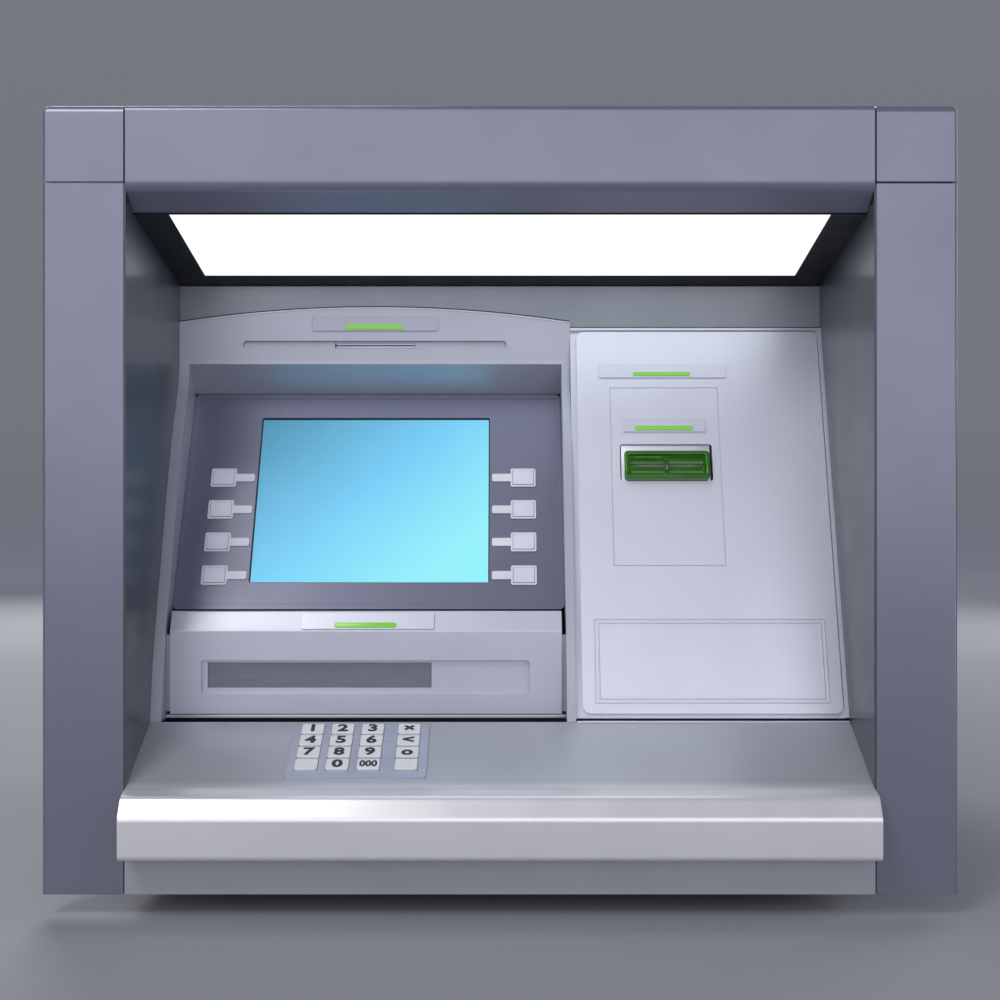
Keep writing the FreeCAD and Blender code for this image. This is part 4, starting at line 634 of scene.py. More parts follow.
@cache
def material_of(finish: Finish) -> bpy.types.Material:
    """The material of a finish, mixed once."""
    return finish.cook().material


def slot_of(node: str) -> str:
    """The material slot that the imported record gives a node."""
    return next(part["material_slot"] for part in frame["record"]["subparts"] if part["node"] == node)


def dress(nodes: Iterable[str]) -> None:
    """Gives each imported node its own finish, or else the finish of its material slot.

    Args:
        nodes: The nodes' names.
    """
    for node in nodes:
        mesh = frame["nodes"][node].data
        mesh.materials.clear()
        mesh.materials.append(material_of(OWN_FINISHES.get(node) or FINISHES[slot_of(node)]))


# ---------------------------------------------------------------- shapes
LEFT, RIGHT = Vector((-1, 0, 0)), Vector((1, 0, 0))
BACK, ROOF = Vector((0, 1, 0)), Vector((0, 0, 1))


@dataclass(frozen=True)
class Seat:
    """A flat face that a fitting sits on."""

    centre: Vector
    out: Vector
    width: float = 0.0
    height: float = 0.0

    @property
    def up(self) -> Vector:
        """The direction that climbs the face.

        Returns:
            A unit vector.
        """
        if abs(self.out.z) < 1e-4:
            return Vector((0, 0, 1))
        climb = Vector((0, self.out.z, -self.out.y)).normalized()
        return climb if climb.z >= 0 else -climb

    @property
    def right(self) -> Vector:
        """The direction across the face, to the right of someone who looks at it."""
        return self.up.cross(self.out)

    def matrix(self, across: float = 0.0, along: float = 0.0, lift: float = 0.0, turn: float = 0.0) -> Matrix:
        """Carries a shape that is drawn on X and Y, facing +Z, to a place on the face.

        Args:
            across: How far to the right of the middle it is.
            along: How far up the face it is.
            lift: How far off the face it is.
            turn: Its angle on the face, in radians.

        Returns:
            The transform.
        """
        spot = self.centre + across * self.right + along * self.up + lift * self.out
        axes = Matrix((self.right, self.up, self.out)).transposed().to_4x4()
        return Matrix.Translation(spot) @ axes @ Matrix.Rotation(turn, 4, "Z")


def corners_of(points: Iterable[Vector]) -> tuple[Vector, Vector]:
    """The lowest and the highest corner of the box round some points."""
    columns = list(zip(*points))
    return Vector([min(c) for c in columns]), Vector([max(c) for c in columns])


def seat_on(points: list[Vector], out: Vector) -> Seat:
    """Finds the outermost flat face of some points.

    Args:
        points: The corners of a shape.
        out: The direction that the face looks in.

    Returns:
        The face's middle, direction and size.
    """
    top = max(p.dot(out) for p in points)
    face = [p for p in points if p.dot(out) > top - TOUCH]
    seat = Seat(Vector(), out)
    middle = []
    sizes = []
    for axis in (seat.right, seat.up):
        low, high = min(p.dot(axis) for p in face), max(p.dot(axis) for p in face)
        middle.append((low + high) / 2)
        sizes.append(high - low)
    return Seat(seat.right * middle[0] + seat.up * middle[1] + out * top, out, *sizes)


def face_of(node: str, out: Vector) -> Seat:
    """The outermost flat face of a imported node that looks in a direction."""
    return seat_on(corner_points(node), out)


def corner_points(node: str) -> list[Vector]:
    """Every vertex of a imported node, where it is in the model's frame."""
    return [v.co for v in frame["nodes"][node].data.vertices]


def round_edges(bm: bmesh.types.BMesh, edges: list[bmesh.types.BMEdge], radius: float, steps: int = 2
                ) -> list[bmesh.types.BMVert]:
    """Rounds some edges of a mesh.

    Args:
        bm: The mesh.
        edges: The edges that are rounded.
        radius: How far the rounding reaches on each side.
        steps: How many strips it has.

    Returns:
        The vertices that the rounding made.
    """
    return bmesh.ops.bevel(bm, geom=edges, offset=radius, segments=steps, affect="EDGES", profile=0.5,
                           material=-1)["verts"]


def block(bm: bmesh.types.BMesh, low: Iterable[float], high: Iterable[float], edge: float = 0.0,
          steps: int = 2, place: Matrix = Matrix.Identity(4)) -> None:
    """Adds a box with rounded edges to a mesh.

    Args:
        bm: The mesh that is added to.
        low: The lowest corner.
        high: The highest corner.
        edge: The radius of its edges.
        steps: How many strips each rounded edge has.
        place: Where the box is carried to.
    """
    low, high = Vector(low), Vector(high)
    made = bmesh.ops.create_cube(bm, size=1.0)["verts"]
    bmesh.ops.scale(bm, verts=made, vec=high - low)
    bmesh.ops.translate(bm, verts=made, vec=(low + high) / 2)
    bmesh.ops.transform(bm, verts=made, matrix=place)
    if edge:
        edges = list({e for v in made for e in v.link_edges})
        round_edges(bm, edges, edge, steps)


def disc(bm: bmesh.types.BMesh, radius: float, depth: float, place: Matrix, sides: int = 24,
         edge: float = 0.0, bore: float = 0.0, sunk: float = 0.0) -> None:
    """Adds a round or many-sided boss that stands on its place.

    Args:
        bm: The mesh that is added to.
        radius: Its radius.
        depth: How far it stands out.
        place: Where it stands, facing its own +Z.
        sides: How many sides it has.
        edge: The radius of its outer edge.
        bore: The radius of the socket in its face.
        sunk: The depth of that socket.
    """
    made = bmesh.ops.create_cone(bm, cap_ends=True, segments=sides, radius1=radius, radius2=radius,
                                 depth=depth, matrix=place @ Matrix.Translation((0, 0, depth / 2)))["verts"]
    out = (place.to_3x3() @ Vector((0, 0, 1))).normalized()
    top = max({f for v in made for f in v.link_faces}, key=lambda f: f.calc_center_median().dot(out))
    if edge:
        round_edges(bm, top.edges[:], edge, 3)
        ends = {f.calc_center_median().freeze(): f for f in bm.faces if len(f.verts) == sides}
        top = ends[max(ends, key=lambda c: round(c.dot(out), 6) - (c - place.translation).cross(out).length)]
    if bore:
        bmesh.ops.inset_region(bm, faces=[top], thickness=radius - edge - bore, use_even_offset=True)
        bmesh.ops.inset_region(bm, faces=[top], thickness=radius * 0.02, use_even_offset=True)
        bmesh.ops.translate(bm, verts=top.verts[:], vec=-sunk * out)


def rounded_plate(bm: bmesh.types.BMesh, width: float, height: float, corner: float) -> bmesh.types.BMFace:
    """Adds a flat rectangle with rounded corners on X and Y.

    Args:
        bm: The mesh that is added to.
        width: Its width.
        height: Its height.
        corner: The radius of its corners.

    Returns:
        Its face.
    """
    made = bmesh.ops.create_grid(bm, x_segments=1, y_segments=1, size=0.5)["verts"]
    bmesh.ops.scale(bm, verts=made, vec=(width, height, 1))
    rounded = bmesh.ops.bevel(bm, geom=made, offset=corner, segments=5, affect="VERTICES", profile=0.5,
                              material=-1)
    return max({f for v in rounded["verts"] for f in v.link_faces}, key=lambda f: f.calc_area())


def raise_face(bm: bmesh.types.BMesh, face: bmesh.types.BMFace, height: float, edge: float = 0.0
               ) -> bmesh.types.BMFace:
    """Raises a face along +Z into a solid with a rounded rim.

    Args:
        bm: The mesh.
        face: The face.
        height: How far it is raised.
        edge: The radius of its rim.

    Returns:
        The top face.
    """
    raised = bmesh.ops.extrude_face_region(bm, geom=[face])["geom"]
    top = next(g for g in raised if isinstance(g, bmesh.types.BMFace))
    bmesh.ops.translate(bm, verts=top.verts[:], vec=(0, 0, height))
    if edge:
        rim = round_edges(bm, top.edges[:], edge, 4)
        top = max({f for v in rim for f in v.link_faces}, key=lambda f: f.calc_center_median().z)
    return top


def ring_plate(width: float, height: float, corner: float, rim: float, depth: float, place: Matrix
               ) -> bmesh.types.BMesh:
    """A flat frame with rounded corners.

    Args:
        width: Its outer width.
        height: Its outer height.
        corner: The radius of its outer corners.
        rim: The width of its strips.
        depth: Its thickness.
        place: Where it goes.

    Returns:
        Its mesh.
    """
    bm = bmesh.new()
    inner = rounded_plate(bm, width, height, corner)
    bmesh.ops.inset_region(bm, faces=[inner], thickness=rim, use_even_offset=True, use_boundary=True)
    bmesh.ops.delete(bm, geom=[inner], context="FACES")
    raised = bmesh.ops.extrude_face_region(bm, geom=bm.faces[:])["geom"]
    lifted = [g for g in raised if isinstance(g, bmesh.types.BMVert)]
    bmesh.ops.translate(bm, verts=lifted, vec=(0, 0, depth))
    bmesh.ops.transform(bm, verts=bm.verts, matrix=place)
    return bm


def copy_of(node: str) -> bmesh.types.BMesh:
    """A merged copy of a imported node's mesh, with its flat faces whole again.

    Args:
        node: The node's name.

    Returns:
        The copy.
    """
    bm = bmesh.new()
    bm.from_mesh(frame["nodes"][node].data)
    bmesh.ops.remove_doubles(bm, verts=bm.verts, dist=0.01 * MM)
    bmesh.ops.dissolve_limit(bm, angle_limit=math.radians(0.5), verts=bm.verts, edges=bm.edges)
    return bm


def islands(bm: bmesh.types.BMesh) -> list[list[bmesh.types.BMVert]]:
    """The separate shapes of a mesh, each as its vertices.

    Args:
        bm: The mesh.

    Returns:
        Each shape's vertices.
    """
    left = set(bm.verts)
    shapes = []
    while left:
        shape, reach = [], [left.pop()]
        while reach:
            vert = reach.pop()
            shape.append(vert)
            near = {e.other_vert(vert) for e in vert.link_edges} & left
            left -= near
            reach.extend(near)
        shapes.append(shape)
    return shapes


def finished(bm: bmesh.types.BMesh, name: str, body: str, slot: str, finish: Finish | None = None,
             crease: float = 32.0) -> bpy.types.Object:
    """Turns a mesh into a named piece that rides on a body.

    Args:
        bm: The mesh, in the model's frame.
        name: The piece's name.
        body: The body that it moves with.
        slot: The record's material slot.
        finish: Its finish, the slot's own if left out.
        crease: The angle past which an edge is shaded sharp, in degrees.

    Returns:
        The piece.
    """
    bmesh.ops.remove_doubles(bm, verts=bm.verts, dist=WELD)
    bmesh.ops.recalc_face_normals(bm, faces=bm.faces)
    mesh = bpy.data.meshes.new(name)
    bm.to_mesh(mesh)
    bm.free()
    mesh.shade_smooth()
    mesh.set_sharp_from_angle(angle=math.radians(crease))
    mesh.materials.append(material_of(finish or FINISHES[slot]))
    piece = bpy.data.objects.new(name, mesh)
    bpy.context.scene.collection.objects.link(piece)
    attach(piece, body)
    return piece


def lettering(text: str, size: float, depth: float, place: Matrix, widest: float) -> bmesh.types.BMesh:
    """Solid characters, centred on a place.

    Args:
        text: The characters.
        size: The height of a line, in metres.
        depth: How far they stand up, in metres.
        place: Where they go.
        widest: The most that they may measure across, in metres.

    Returns:
        Their mesh, in the model's frame.
    """
    curve = bpy.data.curves.new("lettering", "FONT")
    curve.body = text
    curve.align_x = "CENTER"
    curve.align_y = "CENTER"
    curve.size = size
    curve.offset = size * 0.042
    curve.extrude = depth / 2
    curve.resolution_u = 3
    shape = bpy.data.objects.new("lettering", curve)
    bpy.context.scene.collection.objects.link(shape)
    bpy.context.view_layer.update()
    mesh = bpy.data.meshes.new_from_object(shape.evaluated_get(bpy.context.evaluated_depsgraph_get()))
    bm = bmesh.new()
    bm.from_mesh(mesh)
    bpy.data.objects.remove(shape)
    bpy.data.curves.remove(curve)
    bpy.data.meshes.remove(mesh)
    width = max(v.co.x for v in bm.verts) - min(v.co.x for v in bm.verts)
    bmesh.ops.scale(bm, verts=bm.verts, vec=(min(1.3, widest / width), 0.96, 1.0))
    bmesh.ops.translate(bm, verts=bm.verts, vec=(0, 0, depth / 2))
    bmesh.ops.transform(bm, verts=bm.verts, matrix=place)
    return bm


def screws(name: str, body: str, places: list[Matrix], radius: float = 0.0042) -> bpy.types.Object:
    """Button-head screws with hexagon sockets, one on each place, as one piece.

    Args:
        name: The piece's name.
        body: The body that it moves with.
        places: Where each screw stands, facing its own +Z.
        radius: The head's radius.

    Returns:
        The new piece.
    """
    bm = bmesh.new()
    for place in places:
        single = bmesh.new()
        disc(single, radius, radius * 0.5, place, 18, radius * 0.28)
        disc(single, radius * 0.42, radius * 0.12, place @ Matrix.Translation((0, 0, radius * 0.5)), 6,
             bore=radius * 0.36, sunk=radius * 0.3)
        merge(bm, single)
    return finished(bm, name, body, "latch_zinc")


def merge(bm: bmesh.types.BMesh, part: bmesh.types.BMesh) -> None:
    """Adds one mesh to another and frees it.

    Args:
        bm: The mesh that is added to.
        part: The mesh that is added and freed.
    """
    mesh = bpy.data.meshes.new("part")
    part.to_mesh(mesh)
    part.free()
    bm.from_mesh(mesh)
    bpy.data.meshes.remove(mesh)


def bead(bm: bmesh.types.BMesh, start: Iterable[float], end: Iterable[float], radius: float, pitch: float
         ) -> None:
    """Adds a weld bead: a rounded run whose ripples follow each other from start to end.

    Args:
        bm: The mesh that is added to.
        start: Where the run starts.
        end: Where it ends.
        radius: Its radius.
        pitch: The length of one ripple.
    """
    start, end = Vector(start), Vector(end)
    way = end - start
    steps = 2 * max(2, round(way.length / pitch))
    turn = way.to_track_quat("Z", "Y").to_matrix().to_4x4()
    ring = bmesh.ops.create_circle(bm, cap_ends=True, segments=8, radius=radius,
                                   matrix=Matrix.Translation(start) @ turn)["verts"]
    edges = list({e for v in ring for e in v.link_edges if e.other_vert(v) in ring})
    for step in range(steps):
        grown = bmesh.ops.extrude_edge_only(bm, edges=edges)["geom"]
        ring = [g for g in grown if isinstance(g, bmesh.types.BMVert)]
        edges = [g for g in grown if isinstance(g, bmesh.types.BMEdge)]
        bmesh.ops.translate(bm, verts=ring, vec=way / steps)
        centre = start + way * (step + 1) / steps
        swell = 1.16 if step % 2 else 1 / 1.16
        bmesh.ops.scale(bm, verts=ring, vec=(swell,) * 3, space=Matrix.Translation(-centre))
    bmesh.ops.contextual_create(bm, geom=edges)


# ---------------------------------------------------------------- sub-assemblies
@dataclass
class SubAssembly:
    """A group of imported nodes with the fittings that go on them."""

    nodes: tuple[str, ...] = ()

    def build(self) -> list[bpy.types.Object]:
        """Makes the group's new pieces."""
        return []

    def finish(self) -> list[bpy.types.Object]:
        """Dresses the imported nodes, makes the new pieces and returns those."""
        dress(self.nodes)
        return self.build()


@dataclass
class Surround(SubAssembly):
    """The lacquered columns, header and sill, with the foam that seals them to the wall."""

    nodes: tuple[str, ...] = ("surround_columns", "header_cover", "sill_strip")
    foam_width: float = 0.008
    foam_depth: float = 0.0035
    foam_edge: float = 0.0012
    foam_back: float = 0.0004
    below_cap: float = 0.075
    rim: float = 0.003

    def build(self) -> list[bpy.types.Object]:
        """Makes the wall seal, inside the outer rim of each column and along the sill, and the end seals.

        Returns:
            The new pieces.
        """
        low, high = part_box("surround_columns")
        bm = bmesh.new()
        back = high.y - self.foam_back
        inner = high.x - self.rim - 0.0003
        for near, far in ((inner - self.foam_width, inner), (-inner, -inner + self.foam_width)):
            block(bm, (near, back - self.foam_depth, low.z + 0.004), (far, back, high.z - self.below_cap),
                  self.foam_edge)
        sill_low, sill_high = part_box("sill_strip")
        floor = sill_low.z + self.rim + 0.0003
        block(bm, (sill_low.x + 0.004, back - self.foam_depth, floor),
              (sill_high.x - 0.004, back, floor + self.foam_width / 2), 0.0010)
        return [finished(bm, "wall_seal", "root", "foot_rubber", FOAM), self.end_seals()]

    def end_seals(self) -> bpy.types.Object:
        """Makes the dark strips that close the joints between the header and the corner caps.

        Returns:
            The new piece.
        """
        low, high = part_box("header_cover")
        caps_low, caps_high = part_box("surround_columns")
        inner = abs(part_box("side_cheeks")[0].x)
        bm = bmesh.new()
        for side in (-1, 1):
            x0, x1 = sorted((side * (high.x + 0.0001), side * (inner - 0.0001)))
            block(bm, (x0, caps_low.y + 0.0016, low.z + 0.004), (x1, caps_high.y + 0.010, high.z - 0.0012),
                  0.0003)
        return finished(bm, "header_end_seals", "root", "dark_trim")


@dataclass
class Bay(SubAssembly):
    """The customer bay's dark cheeks, its light and the shelf."""

    nodes: tuple[str, ...] = ("side_cheeks", "light_frame", "light_diffuser", "light_tray", "shelf")
    trim: tuple[float, float] = (0.0022, 0.0020)

    def build(self) -> list[bpy.types.Object]:
        """Makes the bright bead where the card side's tray stands on the shelf.

        Returns:
            The new pieces.
        """
        edge = max(corner_points("shelf"), key=lambda p: (round(p.z, 5), -p.y))
        tray_low, tray_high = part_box("card_tray")
        width = tray_high.x - tray_low.x - 0.001
        seat = Seat(Vector(((tray_low.x + tray_high.x) / 2, edge.y, edge.z)), Slope.SHELF.out)
        place = seat.matrix(along=-self.trim[0] / 2 - 0.0004)
        bm = bmesh.new()
        block(bm, (-width / 2, -self.trim[0] / 2, 0), (width / 2, self.trim[0] / 2, self.trim[1]), 0.0005,
              3, place)
        return [finished(bm, "card_foot_bead", "root", "card_silver")]


@dataclass
class Fascia(SubAssembly):
    """The moulded front: display surround, card side and cash panel, with the lit indicators."""

    nodes: tuple[str, ...] = ("screen_surround", "card_panel", "card_tray", "cash_panel", "cash_shutter",
                              "indicator_plates", "indicator_lenses", "fascia_back")
    bend: float = 0.009
    bead: tuple[float, float] = (0.0014, 0.0008)
    slot_lip: tuple[float, float] = (0.0834, 0.0020)
    slot_height: float = 0.005
    slot_rise: float = 0.3765
    front_above: float = 0.56
    arch_end: float = 0.0004
    arch_depth: float = 0.003
    foot_side: float = 0.0036
    recess: float = 0.005
    lens_dome: float = 0.0006

    def build(self) -> list[bpy.types.Object]:
        """Makes the bent cash panel, its foot, the arch's edge, the slot's lips and the lit bars."""
        return [self.cash_front(), self.cash_foot(), self.arch(0.0, "arch_bead", "fascia_silver"),
                self.arch(self.bead[0], "arch_shadow", "dark_trim"), self.slot_lips(), self.lit_bars()]

    def cash_front(self) -> bpy.types.Object:
        """Copies the cash panel and rolls the bend between its face and its sloping top.

        Returns:
            The new piece.
        """
        bm = copy_of("cash_panel")
        low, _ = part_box("cash_panel")
        face = [v for v in bm.verts if abs(v.co.y - low.y) < TOUCH]
        top = max(v.co.z for v in face)
        bend = [e for e in bm.edges if all(v in face and abs(v.co.z - top) < TOUCH for v in e.verts)]
        round_edges(bm, bend, self.bend, 6)
        panel = finished(bm, "cash_front", "root", "fascia_silver")
        for side in panel.data.polygons:
            if side.normal.y < -0.999:
                side.use_smooth = False
        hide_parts("cash_panel")
        return panel

    def cash_foot(self) -> bpy.types.Object:
        """Makes the strip that closes the gap under the cash panel.

        Returns:
            The new piece.
        """
        low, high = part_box("cash_panel")
        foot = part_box("screen_surround")[0].z
        bm = bmesh.new()
        block(bm, (low.x - self.foot_side, low.y - 0.0006, foot + 0.0008),
              (high.x + self.foot_side, low.y + 0.004, low.z - 0.0008), 0.0005, 3)
        return finished(bm, "cash_foot", "root", "fascia_silver")

    def arch(self, above: float, name: str, slot: str) -> bpy.types.Object:
        """Sweeps a thin strip along the arch.

        Args:
            above: How far above the arch's edge the strip starts.
            name: The piece's name.
            slot: Its material slot.

        Returns:
            The strip.
        """
        low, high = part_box("screen_surround")
        points = corner_points("screen_surround")
        end = max(p.z for p in points if abs(p.x - low.x) < TOUCH)
        face = min(p.y for p in points if p.z > end - 0.001)
        half, rise = (high.x - low.x) / 2, high.z - end
        radius = (half ** 2 + rise ** 2) / (2 * rise)
        centre = Vector(((low.x + high.x) / 2, 0, high.z - radius))
        swing = math.asin((half - self.arch_end) / radius)
        front = face - self.bead[1] if not above else face + 0.0008
        start = radius - self.bead[0] if not above else radius
        bm = bmesh.new()
        out = Vector((-math.sin(swing), 0, math.cos(swing)))
        corners = [centre + out * r + Vector((0, y, 0)) for r, y in
                   ((start, front), (start + self.bead[0], front),
                    (start + self.bead[0], face + self.arch_depth), (start, face + self.arch_depth))]
        profile = bm.faces.new([bm.verts.new(c) for c in corners])
        bmesh.ops.spin(bm, geom=[profile, *profile.edges, *profile.verts], cent=centre, axis=(0, 1, 0),
                       angle=2 * swing, steps=64)
        bmesh.ops.holes_fill(bm, edges=bm.edges[:], sides=4)
        return finished(bm, name, "root", slot, crease=60)

    def slot_lips(self) -> bpy.types.Object:
        """Lines the receipt slot with two lips that leave a narrow way for the paper.

        Returns:
            The new piece.
        """
        low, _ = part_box("screen_surround")
        panel_low, panel_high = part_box("display_bezel")
        middle = (panel_low.x + panel_high.x) / 2
        face = min(p.y for p in corner_points("screen_surround") if p.z > self.front_above)
        half, thick = self.slot_lip[0] / 2, self.slot_lip[1]
        bm = bmesh.new()
        for side in (-1, 1):
            far = side * (self.slot_height / 2 - 0.00005)
            near = side * (self.slot_height / 2 - thick)
            z0, z1 = sorted((low.z + self.slot_rise + near, low.z + self.slot_rise + far))
            block(bm, (middle - half, face + self.recess - 0.0003, z0), (middle + half, face + 0.014, z1),
                  0.0004, 3)
        return finished(bm, "receipt_slot_lips", "root", "fascia_silver")

    def lit_bars(self) -> bpy.types.Object:
        """Moulds the four lit bars with round ends and domed faces.

        Returns:
            The new piece.
        """
        bars = bmesh.new()
        lenses = copy_of("indicator_lenses")
        for shape in islands(lenses):
            widest = max({f for v in shape for f in v.link_faces}, key=lambda f: f.calc_area())
            out = widest.normal.copy() if widest.normal.y < 0 else -widest.normal
            seat = seat_on([v.co.copy() for v in shape], out)
            depth = seat_on([v.co.copy() for v in shape], -out).centre.dot(-out) + seat.centre.dot(out)
            bar = bmesh.new()
            face = rounded_plate(bar, seat.width, seat.height * 0.86, seat.height * 0.42)
            raise_face(bar, face, depth, self.lens_dome)
            bmesh.ops.transform(bar, verts=bar.verts, matrix=seat.matrix(lift=-depth))
            merge(bars, bar)
        lenses.free()
        lights = finished(bars, "indicator_bars", "root", "green_lens")
        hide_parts("indicator_lenses")
        return lights


@dataclass
class Display(SubAssembly):
    """The display panel, its pane and the eight keys beside it."""

    nodes: tuple[str, ...] = ("display_bezel", "display_glass", "lcd_monitor", "key_frames") + tuple(
        f"function_key_{side}_{row}" for side in ("left", "right") for row in range(1, 5))
    seal: float = 0.0011
    window: tuple[float, float] = (0.2419, 0.1896)
    side_gap: float = 0.0038
    rim: float = 0.0054
    frame_corner: float = 0.0018

    def build(self) -> list[bpy.types.Object]:
        """Makes the keys' frames, the painted groove shade round each key, the window's seal, the panel's
        border and the monitor's vents.

        Returns:
            The new pieces.
        """
        pane = face_of("display_glass", Slope.DISPLAY.out)
        seal = ring_plate(*self.window, 0.0016, self.seal, 0.0010, pane.matrix(lift=0.00002))
        panel = face_of("display_bezel", Slope.DISPLAY.out)
        frame_width = panel.width + 2 * self.side_gap
        border = ring_plate(frame_width, panel.height + 0.0008, 0.0055, self.rim, 0.0012,
                            panel.matrix(lift=-0.0006))
        monitor = face_of("lcd_monitor", -Slope.DISPLAY.out)
        vents = bmesh.new()
        for row in range(7):
            for side in (-1, 1):
                place = monitor.matrix(side * 0.065, (row - 3) * 0.010, 0.0)
                block(vents, (-0.045, -0.0018, -0.0002), (0.045, 0.0018, 0.0012), 0.0006, 2, place)
        return [self.rounded_frames(), self.groove_shades(), finished(seal, "screen_seal", "root", "dark_trim"),
                finished(border, "display_border", "root", "display_panel"),
                finished(vents, "monitor_vents", "root", "black_case")]

    def rounded_frames(self) -> bpy.types.Object:
        """Copies the frames and pointers of the function keys and rounds their corners.

        Returns:
            The new piece.
        """
        bm = copy_of("key_frames")
        out = Slope.DISPLAY.out
        corners = [e for e in bm.edges if e.is_convex
                   and abs((e.verts[0].co - e.verts[1].co).normalized().dot(out)) > 0.999]
        round_edges(bm, corners, self.frame_corner, 4)
        frames = finished(bm, "function_key_frames", "root", "key_frame_white")
        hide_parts("key_frames")
        return frames

    def groove_shades(self) -> bpy.types.Object:
        """Makes the thin grey ring round each function key, painted shade that stands in for the shadow in
        the groove.

        Returns:
            The new piece.
        """
        bm = bmesh.new()
        out = Slope.DISPLAY.out
        level = face_of("key_frames", out).centre.dot(out)
        for side in ("left", "right"):
            for row in range(1, 5):
                key = face_of(f"function_key_{side}_{row}", out)
                lift = level - key.centre.dot(out)
                merge(bm, ring_plate(key.width + 0.0015, key.height + 0.0015, 0.0012, 0.0009, 0.00012,
                                     key.matrix(lift=lift)))
        return finished(bm, "function_key_groove_shades", "root", "function_key", GROOVE_SHADE)


@dataclass
class Keypad(SubAssembly):
    """The keypad and the characters on its keys."""

    legends: dict[str, str] = field(default_factory=lambda: {
        "one": "1", "two": "2", "three": "3", "four": "4", "five": "5", "six": "6", "seven": "7",
        "eight": "8", "nine": "9", "zero": "0", "triple_zero": "000", "cancel": "×", "clear": "<",
        "enter": "o"})
    nodes: tuple[str, ...] = ("keypad_module",) + tuple(
        f"key_{name}" for name in ("one", "two", "three", "four", "five", "six", "seven", "eight", "nine",
                                   "zero", "triple_zero", "blank_left", "blank_right", "cancel", "clear",
                                   "enter"))
    digit: float = 0.0150
    fill: float = 0.84
    thickness: float = 0.00015

    def build(self) -> list[bpy.types.Object]:
        """Makes each key's character, which rides on its key.

        Returns:
            The new pieces.
        """
        pieces = []
        for name, text in self.legends.items():
            top = face_of(f"key_{name}", Slope.SHELF.out)
            size = self.digit * (0.80 if len(text) > 1 else 1.0)
            bm = lettering(text, size, self.thickness, top.matrix(lift=0.00001), top.width * self.fill)
            pieces.append(finished(bm, f"legend_{name}", f"key_{name}", "keypad_key", INK))
        return pieces


@dataclass
class CardSlot(SubAssembly):
    """The card reader and its green mouth."""

    nodes: tuple[str, ...] = ("card_reader", "card_bezel")
    size: tuple[float, float] = (0.0868, 0.0298)
    lip: float = 0.0045
    throat: float = 0.005
    proud: float = 0.008
    room_above: float = 0.009
    way: float = 0.0024
    rolled: float = 0.0009
    left_top: float = 0.0076
    right_top: float = 0.0099

    def build(self) -> list[bpy.types.Object]:
        """Makes the mouth, the two guides in its throat and the bright liner behind it."""
        seat = face_of("card_bezel", Slope.CARD.out)
        return [self.mouth(seat), self.guides(seat), self.liner(seat)]

    def mouth(self, seat: Seat) -> bpy.types.Object:
        """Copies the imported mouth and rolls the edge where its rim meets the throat.

        Args:
            seat: The mouth's front face.

        Returns:
            The new piece.
        """
        bm = copy_of("card_bezel")
        level = seat.centre.dot(seat.out)
        rim = [e for e in bm.edges if all(abs(v.co.dot(seat.out) - level) < TOUCH for v in e.verts)]
        half, tall = self.size[0] / 2 - self.lip, self.size[1] / 2 - self.lip
        inner = [e for e in rim if all(abs((v.co - seat.centre).dot(seat.right)) < half
                                       and abs((v.co - seat.centre).dot(seat.up)) < tall for v in e.verts)]
        round_edges(bm, inner, self.rolled, 3)
        mouth = finished(bm, "card_mouth", "root", "green_bezel", crease=40)
        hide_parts("card_bezel")
        return mouth

    def guides(self, seat: Seat) -> bpy.types.Object:
        """Makes the throat's two halves, the right one taller than the left.

        Args:
            seat: The mouth's front face.

        Returns:
            The new piece.
        """
        bm = bmesh.new()
        foot, way = -self.size[1] / 2 + self.lip + 0.0003, self.way / 2
        for side, top in ((-1, self.left_top), (1, self.right_top)):
            x0, x1 = sorted((side * 0.0008, side * (self.size[0] / 2 - self.lip - 0.0004)))
            place = seat.matrix((x0 + x1) / 2, (foot + top) / 2, -self.throat + 0.0002)
            merge(bm, ring_plate(x1 - x0, top - foot, 0.0026, 0.0012, 0.0024, place))
            for y0, y1 in ((way, top - 0.0006), (foot + 0.0006, -way)):
                block(bm, (x0 + 0.0006, y0, -self.throat - 0.0006), (x1 - 0.0006, y1, -self.throat + 0.0012),
                      0.0004, 2, seat.matrix())
        return finished(bm, "card_guides", "root", "green_bezel", CLEAR_GREEN)

    def liner(self, seat: Seat) -> bpy.types.Object:
        """Makes the bright plate that shows round the mouth, above it and at its left.

        Args:
            seat: The mouth's front face.

        Returns:
            The new piece.
        """
        bm = bmesh.new()
        half, tall = self.size[0] / 2, self.size[1] / 2
        block(bm, (-half - 0.0026, -tall - 0.0003, -self.proud - 0.0040),
              (half + 0.0014, tall + self.room_above - 0.0004, -self.proud - 0.0018), 0.0004, 2,
              seat.matrix())
        return finished(bm, "card_mouth_liner", "root", "card_silver")


